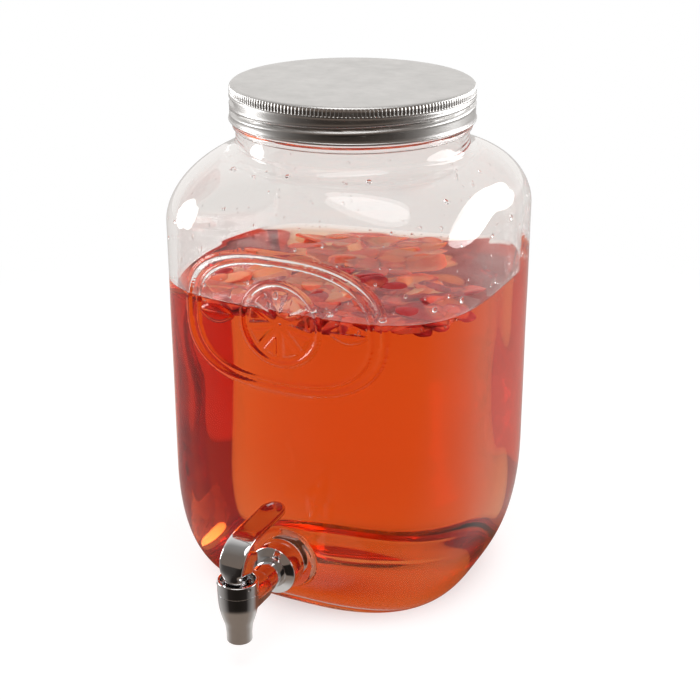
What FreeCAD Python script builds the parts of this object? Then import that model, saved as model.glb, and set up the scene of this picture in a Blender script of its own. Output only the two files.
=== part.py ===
"""Glass drink dispenser: a rounded-square jar with a screw lid and a lever tap low on its front.

Millimetres, +Z up. The origin is on the jar's axis at the level it stands on, and the tap points to -Y.
"""
import FreeCAD, Part
import math
import os

Vector = FreeCAD.Vector
X_AXIS, Y_AXIS, Z_AXIS = Vector(1, 0, 0), Vector(0, 1, 0), Vector(0, 0, 1)

# Jar: overall sizes
BODY_WIDTH = 203.4
BODY_DEPTH = 197.4
RIM_HEIGHT = 319.0
NECK_DIAMETER = 143.2
FOOT_WIDTH = 148.0
WALL = 4.5
BASE_THICKNESS = 7.0
PUSH_UP_DEPTH = 4.0
PUSH_UP_DIAMETER = 104.0

# Jar: how its outline rises. The squareness is a superellipse exponent, 2 being a circle.
BASE_RISE = 80.6
BASE_CURVE = 2.3
NECK_LENGTH = 38.3
SHOULDER_DROP = 39.7
SHOULDER_CURVE = 1.8
BODY_SQUARENESS = 3.6
FOOT_SQUARENESS = 2.44
NECK_BEAD_RADIUS = 1.9
NECK_BEAD_BELOW_RIM = 23.6
RIM_ROUNDING = 1.5

# Lid and its two-start right-hand thread
LID_SHEET = 0.6
LID_HEIGHT = 22.0
LID_EDGE_RADIUS = 3.0
LID_CURL_RADIUS = 0.75
LINER_THICKNESS = 1.4
THREAD_LEAD = 12.0
THREAD_STARTS = 2
THREAD_HEIGHT = 2.3
THREAD_ROOT_WIDTH = 2.6
THREAD_TIP_WIDTH = 1.2
THREAD_BITE = 1.0
THREAD_TIP_CLEARANCE = 0.5
THREAD_TURN = 200.0
THREAD_BELOW_RIM = 11.2
THREAD_START_ANGLE = -150.0
LID_THREAD_DROP = 2.7
LID_THREAD_ROOT_WIDTH = 2.2
LID_THREAD_TIP_WIDTH = 1.0

# Tap: its place on the jar, and the stack that clamps it there
TAP_HEIGHT = 42.0
PAD_RADIUS = 20.0
PAD_RAISE = 0.8
PAD_EXTRA_THICKNESS = 4.0
INNER_PAD_RADIUS = 17.0
SHANK_RADIUS = 7.5
HOLE_CLEARANCE = 0.5
SLIP_CLEARANCE = 0.1
WATERWAY_RADIUS = 4.5
GASKET_THICKNESS = 2.5
GASKET_RADIUS = 14.0
WASHER_THICKNESS = 1.2
NUT_THICKNESS = 7.0
NUT_ACROSS_FLATS = 24.0
SHANK_PAST_NUT = 4.0
FLANGE_RADIUS = 15.4
FLANGE_RIM = 12.5
FLANGE_THICKNESS = 15.0
FLANGE_FACE_RADIUS = 10.5
BARREL_RADIUS = 8.75
BARREL_LENGTH = 15.0
SPIGOT_RADIUS = 7.0
SPIGOT_LENGTH = 12.5
COLLAR_RADIUS = 9.75
COLLAR_TO_AXIS = 24.0

# Tap: the bell-shaped spout, heights measured from the tap's own level axis
BELL_RADIUS = 12.15
BELL_JOIN_RADIUS = 12.1
BELL_WAIST_RADIUS = 7.6
BELL_RIM_RISE = 16.5
BAND_HEIGHT = 8.0
OUTLET_DROP = 24.0
OUTLET_STRAIGHT = 5.0
OUTLET_BORE = 6.0
CHAMBER_RADIUS = 7.8
CHAMBER_RISE = 4.0
CHAMBER_DROP = 5.0
SEAT_DEPTH = 5.0
SEAT_RADIUS = 4.8
SEAT_LAND = 1.0
PORT_RADIUS = 3.5
CUP_WALL = 1.6
BONNET_SPIGOT_RADIUS = 9.3
FIT = 0.05

# Tap: the lever, its pins and the valve
LEVER_SWING = 25.0
PIVOT_FORWARD = 5.5
PIVOT_BELOW_RIM = 2.2
PIVOT_PIN_RADIUS = 1.1
PIVOT_PIN_INSET = 0.3
CRANK_PIN_RADIUS = 1.1
LEVER_BASE_RADIUS = 8.9
LEVER_BASE_WIDTH = 12.6
LEVER_BASE_BACK = 5.8
LEVER_PADDLE_WIDTH = 16.0
LEVER_THICKNESS = 4.0
PADDLE_THICKNESS = 3.2
LEVER_FOOT_GAP = 1.5
LEVER_RISE = 26.0
LEVER_REACH = 51.5
LEVER_BEND = 8.5
HEEL_RISE = 13.0
HEEL_BACK = 14.0
HEEL_ROUND = 2.5
HEEL_CLEAR_FRONT = 2.0
HEEL_CLEAR_BACK = 4.0
FORK_CLEARANCE = 0.4
FORK_LAND = 0.8
FORK_ABOVE_RIM = 3.0
STEM_RADIUS = 1.75
EYE_WIDTH = 5.8
EYE_SLOT_SPARE = 0.25
EYE_SIDE = 1.2
EYE_HALF_HEIGHT = 2.3
PLUG_RADIUS = 6.6
SEAT_GAP = 0.15
STEM_SHOULDER_RADIUS = 4.3
STEM_SHOULDER_HEIGHT = 1.2
STEM_TIP_RADIUS = 2.6
STEM_TIP_HEIGHT = 1.2
PLUG_HEIGHT = 5.6
SPRING_RADIUS = 3.2
SPRING_WIRE_RADIUS = 0.3
SPRING_TURNS = 4
ORING_SECTION = 0.6

# How far a cut runs past the face it opens
OVERSHOOT = 1.0

# Places that follow from the sizes above
NECK_RADIUS = NECK_DIAMETER / 2
MOUTH_RADIUS = NECK_RADIUS - WALL
BODY_RATIO = BODY_DEPTH / BODY_WIDTH
SHOULDER_TOP = RIM_HEIGHT - NECK_LENGTH
SHOULDER_LOW = SHOULDER_TOP - SHOULDER_DROP
LID_INNER_TOP = RIM_HEIGHT + LINER_THICKNESS
LID_TOP = LID_INNER_TOP + LID_SHEET
THREAD_TIP_RADIUS = NECK_RADIUS + THREAD_HEIGHT
LID_INNER_RADIUS = THREAD_TIP_RADIUS + THREAD_TIP_CLEARANCE
LID_RADIUS = LID_INNER_RADIUS + LID_SHEET
PAD_Y = -(BODY_DEPTH / 2 + PAD_RAISE)
INNER_PAD_Y = PAD_Y + WALL + PAD_EXTRA_THICKNESS
FLANGE_BACK_Y = PAD_Y - GASKET_THICKNESS
BARREL_BACK_Y = FLANGE_BACK_Y - FLANGE_THICKNESS
COLLAR_Y = BARREL_BACK_Y - BARREL_LENGTH
BELL_Y = COLLAR_Y - COLLAR_TO_AXIS
BELL_RIM_Z = TAP_HEIGHT + BELL_RIM_RISE
BAND_LOW_Z = BELL_RIM_Z - BAND_HEIGHT
OUTLET_Z = TAP_HEIGHT - OUTLET_DROP
CHAMBER_TOP_Z = TAP_HEIGHT + CHAMBER_RISE
CHAMBER_LOW_Z = TAP_HEIGHT - CHAMBER_DROP
SEAT_LOW_Z = CHAMBER_LOW_Z - SEAT_DEPTH
CUP_RADIUS = BELL_RADIUS - CUP_WALL
PIVOT_Y = BELL_Y - PIVOT_FORWARD
PIVOT_Z = BELL_RIM_Z - PIVOT_BELOW_RIM
HALF_SWING = math.radians(LEVER_SWING / 2)
CRANK_Y = PIVOT_Y + PIVOT_FORWARD * math.cos(HALF_SWING)
CRANK_Z = PIVOT_Z - PIVOT_FORWARD * math.sin(HALF_SWING)
PLUG_LOW_Z = SEAT_LOW_Z + SEAT_GAP
PLUG_TOP_Z = PLUG_LOW_Z + PLUG_HEIGHT
SHOULDER_TOP_Z = PLUG_TOP_Z + STEM_SHOULDER_HEIGHT


def revolved_z(points, y=0.0):
    """A solid of revolution about the upright line through (0, y) from (radius, height) points."""
    corners = [Vector(r, 0, z) for r, z in points]
    face = Part.Face(Part.makePolygon(corners + corners[:1]))
    solid = face.revolve(Vector(0, 0, 0), Z_AXIS, 360)
    solid.translate(Vector(0, y, 0))
    return solid


def revolved_y(points):
    """A solid of revolution about the tap's level axis from (radius, y) points."""
    corners = [Vector(r, y, TAP_HEIGHT) for r, y in points]
    face = Part.Face(Part.makePolygon(corners + corners[:1]))
    return face.revolve(Vector(0, 0, TAP_HEIGHT), Y_AXIS, 360)


def rod_y(radius, y_front, y_back):
    """A round bar on the tap's level axis."""
    return Part.makeCylinder(radius, y_back - y_front, Vector(0, y_front, TAP_HEIGHT), Y_AXIS)


def rod_z(radius, z_low, z_high, y=0.0):
    """An upright round bar."""
    return Part.makeCylinder(radius, z_high - z_low, Vector(0, y, z_low), Z_AXIS)


def rod_x(radius, half_length, y, z):
    """A round bar across the part."""
    return Part.makeCylinder(radius, 2 * half_length, Vector(-half_length, y, z), X_AXIS)


def box(x_low, x_high, y_low, y_high, z_low, z_high):
    """A block between two corners."""
    return Part.makeBox(x_high - x_low, y_high - y_low, z_high - z_low, Vector(x_low, y_low, z_low))


def top_edges(shape, z):
    """The shape's edges that lie at the height z."""
    near = 0.01
    return [edge for edge in shape.Edges if edge.BoundBox.ZMin > z - near]


def section_wire(z, half_width, squareness):
    """One level section of the jar, a superellipse as wide and as deep as the body's proportions."""
    count = 32
    half_depth = half_width * (BODY_RATIO + (1 - BODY_RATIO) * roundness(squareness))
    points = []
    for step in range(count):
        angle = 2 * math.pi * step / count
        across = abs(math.cos(angle) / half_width) ** squareness
        along = abs(math.sin(angle) / half_depth) ** squareness
        radius = (across + along) ** (-1 / squareness)
        points.append(Vector(radius * math.cos(angle), radius * math.sin(angle), z))
    curve = Part.BSplineCurve()
    curve.interpolate(Points=points, PeriodicFlag=True)
    return Part.Wire(curve.toShape())


def roundness(squareness):
    """1 for a round section, 0 for one as square as the body."""
    return max(0.0, min(1.0, (BODY_SQUARENESS - squareness) / (BODY_SQUARENESS - 2)))


def jar_form(inset, floor_z, shoulder_drop, neck_radius):
    """The jar's outline as a solid, drawn in by inset, from its floor to inside its neck."""
    body = BODY_WIDTH / 2 - inset
    foot = FOOT_WIDTH / 2 - inset
    stations = []
    for degrees in range(0, 91, 10):
        grow = math.sin(math.radians(degrees)) ** (2 / BASE_CURVE)
        fall = math.cos(math.radians(degrees)) ** (2 / BASE_CURVE)
        z = floor_z + (BASE_RISE - floor_z) * (1 - fall)
        squareness = FOOT_SQUARENESS + (BODY_SQUARENESS - FOOT_SQUARENESS) * grow
        stations.append((z, foot + (body - foot) * grow, squareness))
    for share in (0.2, 0.4, 0.6, 0.8):
        stations.append((BASE_RISE + (SHOULDER_LOW - BASE_RISE) * share, body, BODY_SQUARENESS))
    for degrees in range(0, 76, 10):
        fall = math.cos(math.radians(degrees)) ** (2 / SHOULDER_CURVE)
        climb = math.sin(math.radians(degrees)) ** (2 / SHOULDER_CURVE)
        squareness = 2 + (BODY_SQUARENESS - 2) * fall
        half_width = neck_radius + (body - neck_radius) * fall
        stations.append((SHOULDER_LOW + shoulder_drop * climb, half_width, squareness))
    inside_neck = 0.8
    stations.append((SHOULDER_LOW + shoulder_drop + WALL, neck_radius - inside_neck, 2.0))
    return Part.makeLoft([section_wire(*station) for station in stations], True, False)


def helical_ridge(root_radius, tip_radius, root_width, tip_width, start_angle, start_z, turn):
    """One start of a right-hand thread as a solid ridge from root to tip."""
    lead_turns = turn / 360
    helix = Part.makeHelix(THREAD_LEAD, THREAD_LEAD * lead_turns, root_radius)
    corners = [
        Vector(root_radius, 0, -root_width / 2),
        Vector(tip_radius, 0, -tip_width / 2),
        Vector(tip_radius, 0, tip_width / 2),
        Vector(root_radius, 0, root_width / 2),
    ]
    profile = Part.makePolygon(corners + corners[:1])
    ridge = Part.Wire(helix.Edges).makePipeShell([profile], True, True)
    ridge.rotate(Vector(0, 0, 0), Z_AXIS, start_angle)
    ridge.translate(Vector(0, 0, start_z))
    return ridge


def thread_ridges(root_radius, tip_radius, root_width, tip_width, drop):
    """Every start of the thread, spaced evenly round the neck."""
    start_z = RIM_HEIGHT - THREAD_BELOW_RIM - drop
    return [
        helical_ridge(
            root_radius, tip_radius, root_width, tip_width,
            THREAD_START_ANGLE + 360 / THREAD_STARTS * start, start_z, THREAD_TURN,
        )
        for start in range(THREAD_STARTS)
    ]


def glass_jar():
    """The jar: one piece of glass with a threaded neck, a raised flat for the tap and a pushed-up base."""
    sink = 0.6
    outside = jar_form(0, 0, SHOULDER_DROP, NECK_RADIUS)
    neck = rod_z(NECK_RADIUS, SHOULDER_TOP, RIM_HEIGHT)
    neck = neck.makeFillet(RIM_ROUNDING, top_edges(neck, RIM_HEIGHT))
    bead_centre = Vector(0, 0, RIM_HEIGHT - NECK_BEAD_BELOW_RIM)
    bead = Part.makeTorus(NECK_RADIUS, NECK_BEAD_RADIUS, bead_centre, Z_AXIS)
    pad = rod_y(PAD_RADIUS, PAD_Y, PAD_Y + BODY_DEPTH / 2)
    outside = outside.fuse([neck, bead, pad])
    inside = jar_form(WALL, BASE_THICKNESS, SHOULDER_DROP - WALL, MOUTH_RADIUS)
    mouth = rod_z(MOUTH_RADIUS, SHOULDER_TOP - WALL, RIM_HEIGHT + OVERSHOOT)
    inner_pad = rod_y(INNER_PAD_RADIUS, PAD_Y + WALL / 2, INNER_PAD_Y)
    jar = outside.cut(inside.fuse(mouth)).fuse(inner_pad)
    spot_face = rod_y(INNER_PAD_RADIUS, INNER_PAD_Y, INNER_PAD_Y + BODY_DEPTH / 4)
    tap_hole = rod_y(SHANK_RADIUS + HOLE_CLEARANCE, PAD_Y - OVERSHOOT, INNER_PAD_Y + OVERSHOOT)
    push_up = Part.makeCone(PUSH_UP_DIAMETER / 2, PUSH_UP_DIAMETER / 4, PUSH_UP_DEPTH)
    below_floor = box(-BODY_WIDTH, BODY_WIDTH, -BODY_DEPTH, BODY_DEPTH, -BASE_THICKNESS, 0)
    jar = jar.cut([spot_face, tap_hole, push_up, below_floor])
    ridges = thread_ridges(
        NECK_RADIUS - sink, THREAD_TIP_RADIUS, THREAD_ROOT_WIDTH, THREAD_TIP_WIDTH, 0,
    )
    return jar.fuse(ridges)


def lid_cap():
    """The lid: a pressed sheet cap with a soft edge, an inner rolled thread and a curled lower edge."""
    skirt_low = LID_TOP - LID_HEIGHT + LID_CURL_RADIUS
    outer = rod_z(LID_RADIUS, skirt_low, LID_TOP)
    outer = outer.makeFillet(LID_EDGE_RADIUS, top_edges(outer, LID_TOP))
    inner = rod_z(LID_INNER_RADIUS, skirt_low - OVERSHOOT, LID_INNER_TOP)
    inner = inner.makeFillet(LID_EDGE_RADIUS - LID_SHEET, top_edges(inner, LID_INNER_TOP))
    curl_centre = LID_INNER_RADIUS + LID_CURL_RADIUS - LID_SHEET / 4
    curl = Part.makeTorus(curl_centre, LID_CURL_RADIUS, Vector(0, 0, skirt_low), Z_AXIS)
    ridges = thread_ridges(
        LID_RADIUS - LID_SHEET / 2, THREAD_TIP_RADIUS - THREAD_BITE,
        LID_THREAD_ROOT_WIDTH, LID_THREAD_TIP_WIDTH, LID_THREAD_DROP,
    )
    return outer.cut(inner).fuse([curl] + ridges)


def lid_liner():
    """The soft disc inside the lid that seals on the jar's rim."""
    clear = 0.1
    return rod_z(LID_INNER_RADIUS - LID_EDGE_RADIUS + LID_SHEET - clear, RIM_HEIGHT, LID_INNER_TOP)


def ring_y(outer, inner, y_front, y_back):
    """A flat ring on the tap's level axis."""
    return rod_y(outer, y_front, y_back).cut(rod_y(inner, y_front - OVERSHOOT, y_back + OVERSHOOT))


def oring_y(shaft_radius, y):
    """A round-section seal on the tap's level axis."""
    ring_radius = shaft_radius + ORING_SECTION + FIT / 2
    return Part.makeTorus(ring_radius, ORING_SECTION, Vector(0, y, TAP_HEIGHT), Y_AXIS)


def clamp_stack():
    """What clamps the tap to the jar, from the outer gasket to the nut inside."""
    bore = SHANK_RADIUS + SLIP_CLEARANCE
    washer_y = INNER_PAD_Y + GASKET_THICKNESS
    nut_y = washer_y + WASHER_THICKNESS
    corner_radius = NUT_ACROSS_FLATS / math.sqrt(3)
    corners = [
        Vector(corner_radius * math.cos(math.radians(60 * k)), nut_y,
               TAP_HEIGHT + corner_radius * math.sin(math.radians(60 * k)))
        for k in range(6)
    ]
    hexagon = Part.Face(Part.makePolygon(corners + corners[:1])).extrude(Y_AXIS * NUT_THICKNESS)
    nut_bore = rod_y(bore, nut_y - OVERSHOOT, nut_y + NUT_THICKNESS + OVERSHOOT)
    return {
        "outer_gasket": ring_y(GASKET_RADIUS, bore, FLANGE_BACK_Y, PAD_Y),
        "inner_gasket": ring_y(GASKET_RADIUS, bore, INNER_PAD_Y, washer_y),
        "backing_washer": ring_y(GASKET_RADIUS, bore, washer_y, nut_y),
        "lock_nut": hexagon.cut(nut_bore),
    }


def tap_flange():
    """The deep round flange that covers the hole, bevelled at its front."""
    bore = SHANK_RADIUS + SLIP_CLEARANCE
    return revolved_y([
        (bore, FLANGE_BACK_Y),
        (FLANGE_RADIUS, FLANGE_BACK_Y),
        (FLANGE_RADIUS, FLANGE_BACK_Y - FLANGE_RIM),
        (FLANGE_FACE_RADIUS, BARREL_BACK_Y),
        (bore, BARREL_BACK_Y),
    ])


def spigot_groove_y():
    """The middle of the seal's groove on the shank's spigot."""
    return COLLAR_Y - SPIGOT_LENGTH / 2


def groove_depth():
    """How deep a seal's groove is cut."""
    return 2 * ORING_SECTION


def tap_shank():
    """The tap's tube: a spigot for the spout, the barrel, and the tail that passes through the jar."""
    tail_y = INNER_PAD_Y + GASKET_THICKNESS + WASHER_THICKNESS + NUT_THICKNESS + SHANK_PAST_NUT
    end_y = COLLAR_Y - SPIGOT_LENGTH
    barrel = rod_y(BARREL_RADIUS, COLLAR_Y, BARREL_BACK_Y)
    tail = rod_y(SHANK_RADIUS, BARREL_BACK_Y, tail_y)
    tube = rod_y(SPIGOT_RADIUS, end_y, COLLAR_Y).fuse([barrel, tail])
    half = ORING_SECTION + FIT
    y = spigot_groove_y()
    groove = ring_y(SPIGOT_RADIUS + OVERSHOOT, SPIGOT_RADIUS - groove_depth(), y - half, y + half)
    waterway = rod_y(WATERWAY_RADIUS, end_y - OVERSHOOT, tail_y + OVERSHOOT)
    return tube.cut([waterway, groove])


def spout_body():
    """The bell-shaped spout with the level collar that slides over the shank's spigot."""
    straight_z = OUTLET_Z + OUTLET_STRAIGHT
    curve = Part.BSplineCurve()
    rise = BAND_LOW_Z - straight_z
    swell = BELL_JOIN_RADIUS - BELL_WAIST_RADIUS
    shares = [(0.0, 0.0), (0.18, 0.12), (0.39, 0.49), (0.53, 0.71), (0.67, 0.87), (0.84, 0.97), (1.0, 1.0)]
    # The taper runs straight down out of the band and straight down into the outlet.
    curve.interpolate(
        Points=[Vector(BELL_WAIST_RADIUS + out * swell, 0, straight_z + up * rise) for up, out in shares],
        InitialTangent=Z_AXIS, FinalTangent=Z_AXIS,
    )
    low = Vector(BELL_WAIST_RADIUS, 0, OUTLET_Z)
    edges = [
        Part.LineSegment(Vector(0, 0, OUTLET_Z), low).toShape(),
        Part.LineSegment(low, Vector(BELL_WAIST_RADIUS, 0, straight_z)).toShape(),
        curve.toShape(),
        Part.LineSegment(Vector(BELL_JOIN_RADIUS, 0, BAND_LOW_Z), Vector(0, 0, BAND_LOW_Z)).toShape(),
        Part.LineSegment(Vector(0, 0, BAND_LOW_Z), Vector(0, 0, OUTLET_Z)).toShape(),
    ]
    bell = Part.Face(Part.Wire(edges)).revolve(Vector(0, 0, 0), Z_AXIS, 360)
    bell.translate(Vector(0, BELL_Y, 0))
    collar = rod_y(COLLAR_RADIUS, BELL_Y, COLLAR_Y)
    bonnet_bore = BONNET_SPIGOT_RADIUS + FIT
    bore = revolved_z([
        (0, OUTLET_Z - OVERSHOOT),
        (OUTLET_BORE, OUTLET_Z - OVERSHOOT),
        (OUTLET_BORE, SEAT_LOW_Z - 2 * SEAT_LAND),
        (SEAT_RADIUS, SEAT_LOW_Z - SEAT_LAND),
        (SEAT_RADIUS, SEAT_LOW_Z),
        (CHAMBER_RADIUS, CHAMBER_LOW_Z),
        (CHAMBER_RADIUS, CHAMBER_TOP_Z),
        (bonnet_bore, CHAMBER_TOP_Z),
        (bonnet_bore, BAND_LOW_Z + OVERSHOOT),
        (0, BAND_LOW_Z + OVERSHOOT),
    ], BELL_Y)
    above = box(
        -COLLAR_RADIUS, COLLAR_RADIUS, BELL_Y - OVERSHOOT, BELL_Y + BELL_RADIUS, BAND_LOW_Z, BELL_RIM_Z,
    )
    socket = rod_y(SPIGOT_RADIUS + FIT, COLLAR_Y - SPIGOT_LENGTH - FIT, COLLAR_Y + OVERSHOOT)
    port = rod_y(PORT_RADIUS, BELL_Y, COLLAR_Y)
    return bell.fuse(collar).cut([above, bore, socket, port])


def stem_groove_z():
    """The middle of the stem seal's groove in the bonnet's floor."""
    return (CHAMBER_TOP_Z + BAND_LOW_Z) / 2


def bonnet():
    """The spout's upper band: an open cup that guides the stem and carries the lever's pivot pin."""
    cup = revolved_z([
        (0, CHAMBER_TOP_Z),
        (BONNET_SPIGOT_RADIUS, CHAMBER_TOP_Z),
        (BONNET_SPIGOT_RADIUS, BAND_LOW_Z),
        (BELL_RADIUS, BAND_LOW_Z),
        (BELL_RADIUS, BELL_RIM_Z),
        (CUP_RADIUS, BELL_RIM_Z),
        (CUP_RADIUS, BAND_LOW_Z),
        (0, BAND_LOW_Z),
    ], BELL_Y)
    half = ORING_SECTION + FIT
    groove_low, groove_high = stem_groove_z() - half, stem_groove_z() + half
    groove_radius = STEM_RADIUS + groove_depth() + 2 * FIT
    stem_groove = rod_z(groove_radius, groove_low, groove_high, BELL_Y)
    seal_outer = rod_z(BELL_RADIUS, groove_low, groove_high, BELL_Y)
    seal_core = rod_z(BONNET_SPIGOT_RADIUS - groove_depth(), groove_low, groove_high, BELL_Y)
    stem_bore = rod_z(STEM_RADIUS + FIT, CHAMBER_TOP_Z - OVERSHOOT, BAND_LOW_Z + OVERSHOOT, BELL_Y)
    pin_hole = rod_x(PIVOT_PIN_RADIUS + FIT / 2, BELL_RADIUS, PIVOT_Y, PIVOT_Z)
    return cup.cut([stem_groove, seal_outer.cut(seal_core), stem_bore, pin_hole])


def bonnet_seals():
    """The stem's seal in the bonnet's floor, and the one round the bonnet's spigot."""
    middle = Vector(0, BELL_Y, stem_groove_z())
    stem_ring = Part.makeTorus(STEM_RADIUS + FIT + ORING_SECTION, ORING_SECTION, middle, Z_AXIS)
    spigot_ring_radius = BONNET_SPIGOT_RADIUS - groove_depth() + ORING_SECTION + FIT / 2
    return {
        "stem_oring": stem_ring,
        "bonnet_oring": Part.makeTorus(spigot_ring_radius, ORING_SECTION, middle, Z_AXIS),
    }


def lever_side():
    """The lever's side outline as a face at x = 0: heel block, upright strap and paddle in one bend."""
    front = BELL_Y - LEVER_BASE_RADIUS
    low = BAND_LOW_Z + LEVER_FOOT_GAP
    top = BELL_RIM_Z + LEVER_RISE
    under = top - PADDLE_THICKNESS
    tip = front + LEVER_REACH + LEVER_BASE_RADIUS
    strap_back = front + LEVER_THICKNESS
    inner_bend = LEVER_BEND - PADDLE_THICKNESS
    heel_top = BELL_RIM_Z + HEEL_RISE
    heel_back = BELL_Y + HEEL_BACK
    cup_back = BELL_Y + LEVER_BASE_BACK
    half = math.sqrt(0.5)

    def at(y, z):
        return Vector(0, y, z)

    def line(a, b):
        return Part.LineSegment(a, b).toShape()

    def arc(a, through, b):
        return Part.Arc(a, through, b).toShape()

    bend_mid = at(front + LEVER_BEND * (1 - half), top - LEVER_BEND * (1 - half))
    inner_mid = at(strap_back + inner_bend * (1 - half), under - inner_bend * (1 - half))
    heel_mid = at(heel_back - HEEL_ROUND * (1 - half), heel_top - HEEL_ROUND * (1 - half))
    low_front, low_back = at(front, low), at(cup_back, low)
    bend_low, bend_high = at(front, top - LEVER_BEND), at(front + LEVER_BEND, top)
    tip_high, tip_low = at(tip, top), at(tip, under)
    inner_high, inner_low = at(strap_back + inner_bend, under), at(strap_back, under - inner_bend)
    notch = at(strap_back, heel_top + HEEL_ROUND)
    heel_high, heel_far = at(heel_back - HEEL_ROUND, heel_top), at(heel_back, heel_top - HEEL_ROUND)
    heel_under = at(heel_back, BELL_RIM_Z + HEEL_CLEAR_BACK)
    over_rim = at(cup_back, BELL_RIM_Z + HEEL_CLEAR_FRONT)
    return Part.Face(Part.Wire([
        line(low_front, bend_low),
        arc(bend_low, bend_mid, bend_high),
        line(bend_high, tip_high),
        line(tip_high, tip_low),
        line(tip_low, inner_high),
        arc(inner_high, inner_mid, inner_low),
        line(inner_low, notch),
        line(notch, heel_high),
        arc(heel_high, heel_mid, heel_far),
        line(heel_far, heel_under),
        line(heel_under, over_rim),
        line(over_rim, low_back),
        line(low_back, low_front),
    ]))


def lever_plan():
    """The lever's outline from above as a prism: round in front, widening to a paddle with a round tip."""
    base = LEVER_BASE_WIDTH / 2
    paddle = LEVER_PADDLE_WIDTH / 2
    front = BELL_Y - LEVER_BASE_RADIUS
    side_y = BELL_Y - math.sqrt(LEVER_BASE_RADIUS ** 2 - base ** 2)
    heel_y = BELL_Y + HEEL_BACK + OVERSHOOT
    tip_y = front + LEVER_BASE_RADIUS + LEVER_REACH
    tip_centre = tip_y - paddle
    z = OUTLET_Z

    def at(x, y):
        return Vector(x, y, z)

    edges = [
        Part.Arc(at(-base, side_y), at(0, front), at(base, side_y)).toShape(),
        Part.LineSegment(at(base, side_y), at(base, heel_y)).toShape(),
        Part.LineSegment(at(base, heel_y), at(paddle, tip_centre)).toShape(),
        Part.Arc(at(paddle, tip_centre), at(0, tip_y), at(-paddle, tip_centre)).toShape(),
        Part.LineSegment(at(-paddle, tip_centre), at(-base, heel_y)).toShape(),
        Part.LineSegment(at(-base, heel_y), at(-base, side_y)).toShape(),
    ]
    return Part.Face(Part.Wire(edges)).extrude(Z_AXIS * (BELL_RIM_Z + LEVER_RISE + OVERSHOOT - z))


def lever_handle():
    """The lever: strap, paddle and a forked heel whose cheeks hold the crank pin."""
    side = lever_side()
    side.translate(Vector(-LEVER_PADDLE_WIDTH / 2, 0, 0))
    lever = side.extrude(X_AXIS * LEVER_PADDLE_WIDTH).common(lever_plan())
    gap = EYE_WIDTH / 2 + FORK_CLEARANCE
    slot_front = PIVOT_Y + PIVOT_PIN_RADIUS + FORK_LAND
    slot_back = BELL_Y + LEVER_BASE_BACK + OVERSHOOT
    slot = box(-gap, gap, slot_front, slot_back, OUTLET_Z, BELL_RIM_Z + FORK_ABOVE_RIM)
    pivot_hole = rod_x(PIVOT_PIN_RADIUS + FIT, BELL_RADIUS, PIVOT_Y, PIVOT_Z)
    crank_hole = rod_x(CRANK_PIN_RADIUS + FIT / 2, LEVER_BASE_WIDTH, CRANK_Y, CRANK_Z)
    return lever.cut([slot, pivot_hole, crank_hole])


def lever_pins():
    """The pin the lever turns on, and the pin with which its fork lifts the stem."""
    chord = math.sqrt(BELL_RADIUS ** 2 - PIVOT_FORWARD ** 2)
    crank_half = LEVER_BASE_WIDTH / 2 - PIVOT_PIN_INSET
    return {
        "lever_pin": rod_x(PIVOT_PIN_RADIUS, chord - PIVOT_PIN_INSET, PIVOT_Y, PIVOT_Z),
        "crank_pin": rod_x(CRANK_PIN_RADIUS, crank_half, CRANK_Y, CRANK_Z),
    }


def valve_stem():
    """The stem: a slotted eye for the crank pin, a spring shoulder and a barbed tip for the plug."""
    eye_half = CRANK_PIN_RADIUS + FIT + EYE_SLOT_SPARE + EYE_SIDE
    eye_low, eye_high = CRANK_Z - EYE_HALF_HEIGHT, CRANK_Z + EYE_HALF_HEIGHT
    slot_half = CRANK_PIN_RADIUS + FIT
    tip_low = PLUG_LOW_Z - STEM_TIP_HEIGHT
    stem = rod_z(STEM_RADIUS, tip_low, eye_low + EYE_SIDE / 2, BELL_Y).fuse([
        box(-EYE_WIDTH / 2, EYE_WIDTH / 2, BELL_Y - eye_half, BELL_Y + eye_half, eye_low, eye_high),
        rod_z(STEM_SHOULDER_RADIUS, PLUG_TOP_Z, SHOULDER_TOP_Z, BELL_Y),
        Part.makeCone(STEM_RADIUS, STEM_TIP_RADIUS, STEM_TIP_HEIGHT, Vector(0, BELL_Y, tip_low), Z_AXIS),
    ])
    slot = rod_x(slot_half, EYE_WIDTH, BELL_Y - EYE_SLOT_SPARE, CRANK_Z).fuse([
        rod_x(slot_half, EYE_WIDTH, BELL_Y + EYE_SLOT_SPARE, CRANK_Z),
        box(-EYE_WIDTH, EYE_WIDTH, BELL_Y - EYE_SLOT_SPARE, BELL_Y + EYE_SLOT_SPARE,
            CRANK_Z - slot_half, CRANK_Z + slot_half),
    ])
    return stem.cut(slot)


def valve_plug():
    """The soft plug that closes the spout on its conical seat."""
    slope = (CHAMBER_RADIUS - SEAT_RADIUS) / SEAT_DEPTH
    low_radius = SEAT_RADIUS - SEAT_GAP
    cone_top = PLUG_LOW_Z + (PLUG_RADIUS - low_radius) / slope
    bore = STEM_RADIUS + FIT
    return revolved_z([
        (bore, PLUG_LOW_Z),
        (low_radius, PLUG_LOW_Z),
        (PLUG_RADIUS, cone_top),
        (PLUG_RADIUS, PLUG_TOP_Z),
        (bore, PLUG_TOP_Z),
    ], BELL_Y)


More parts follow.
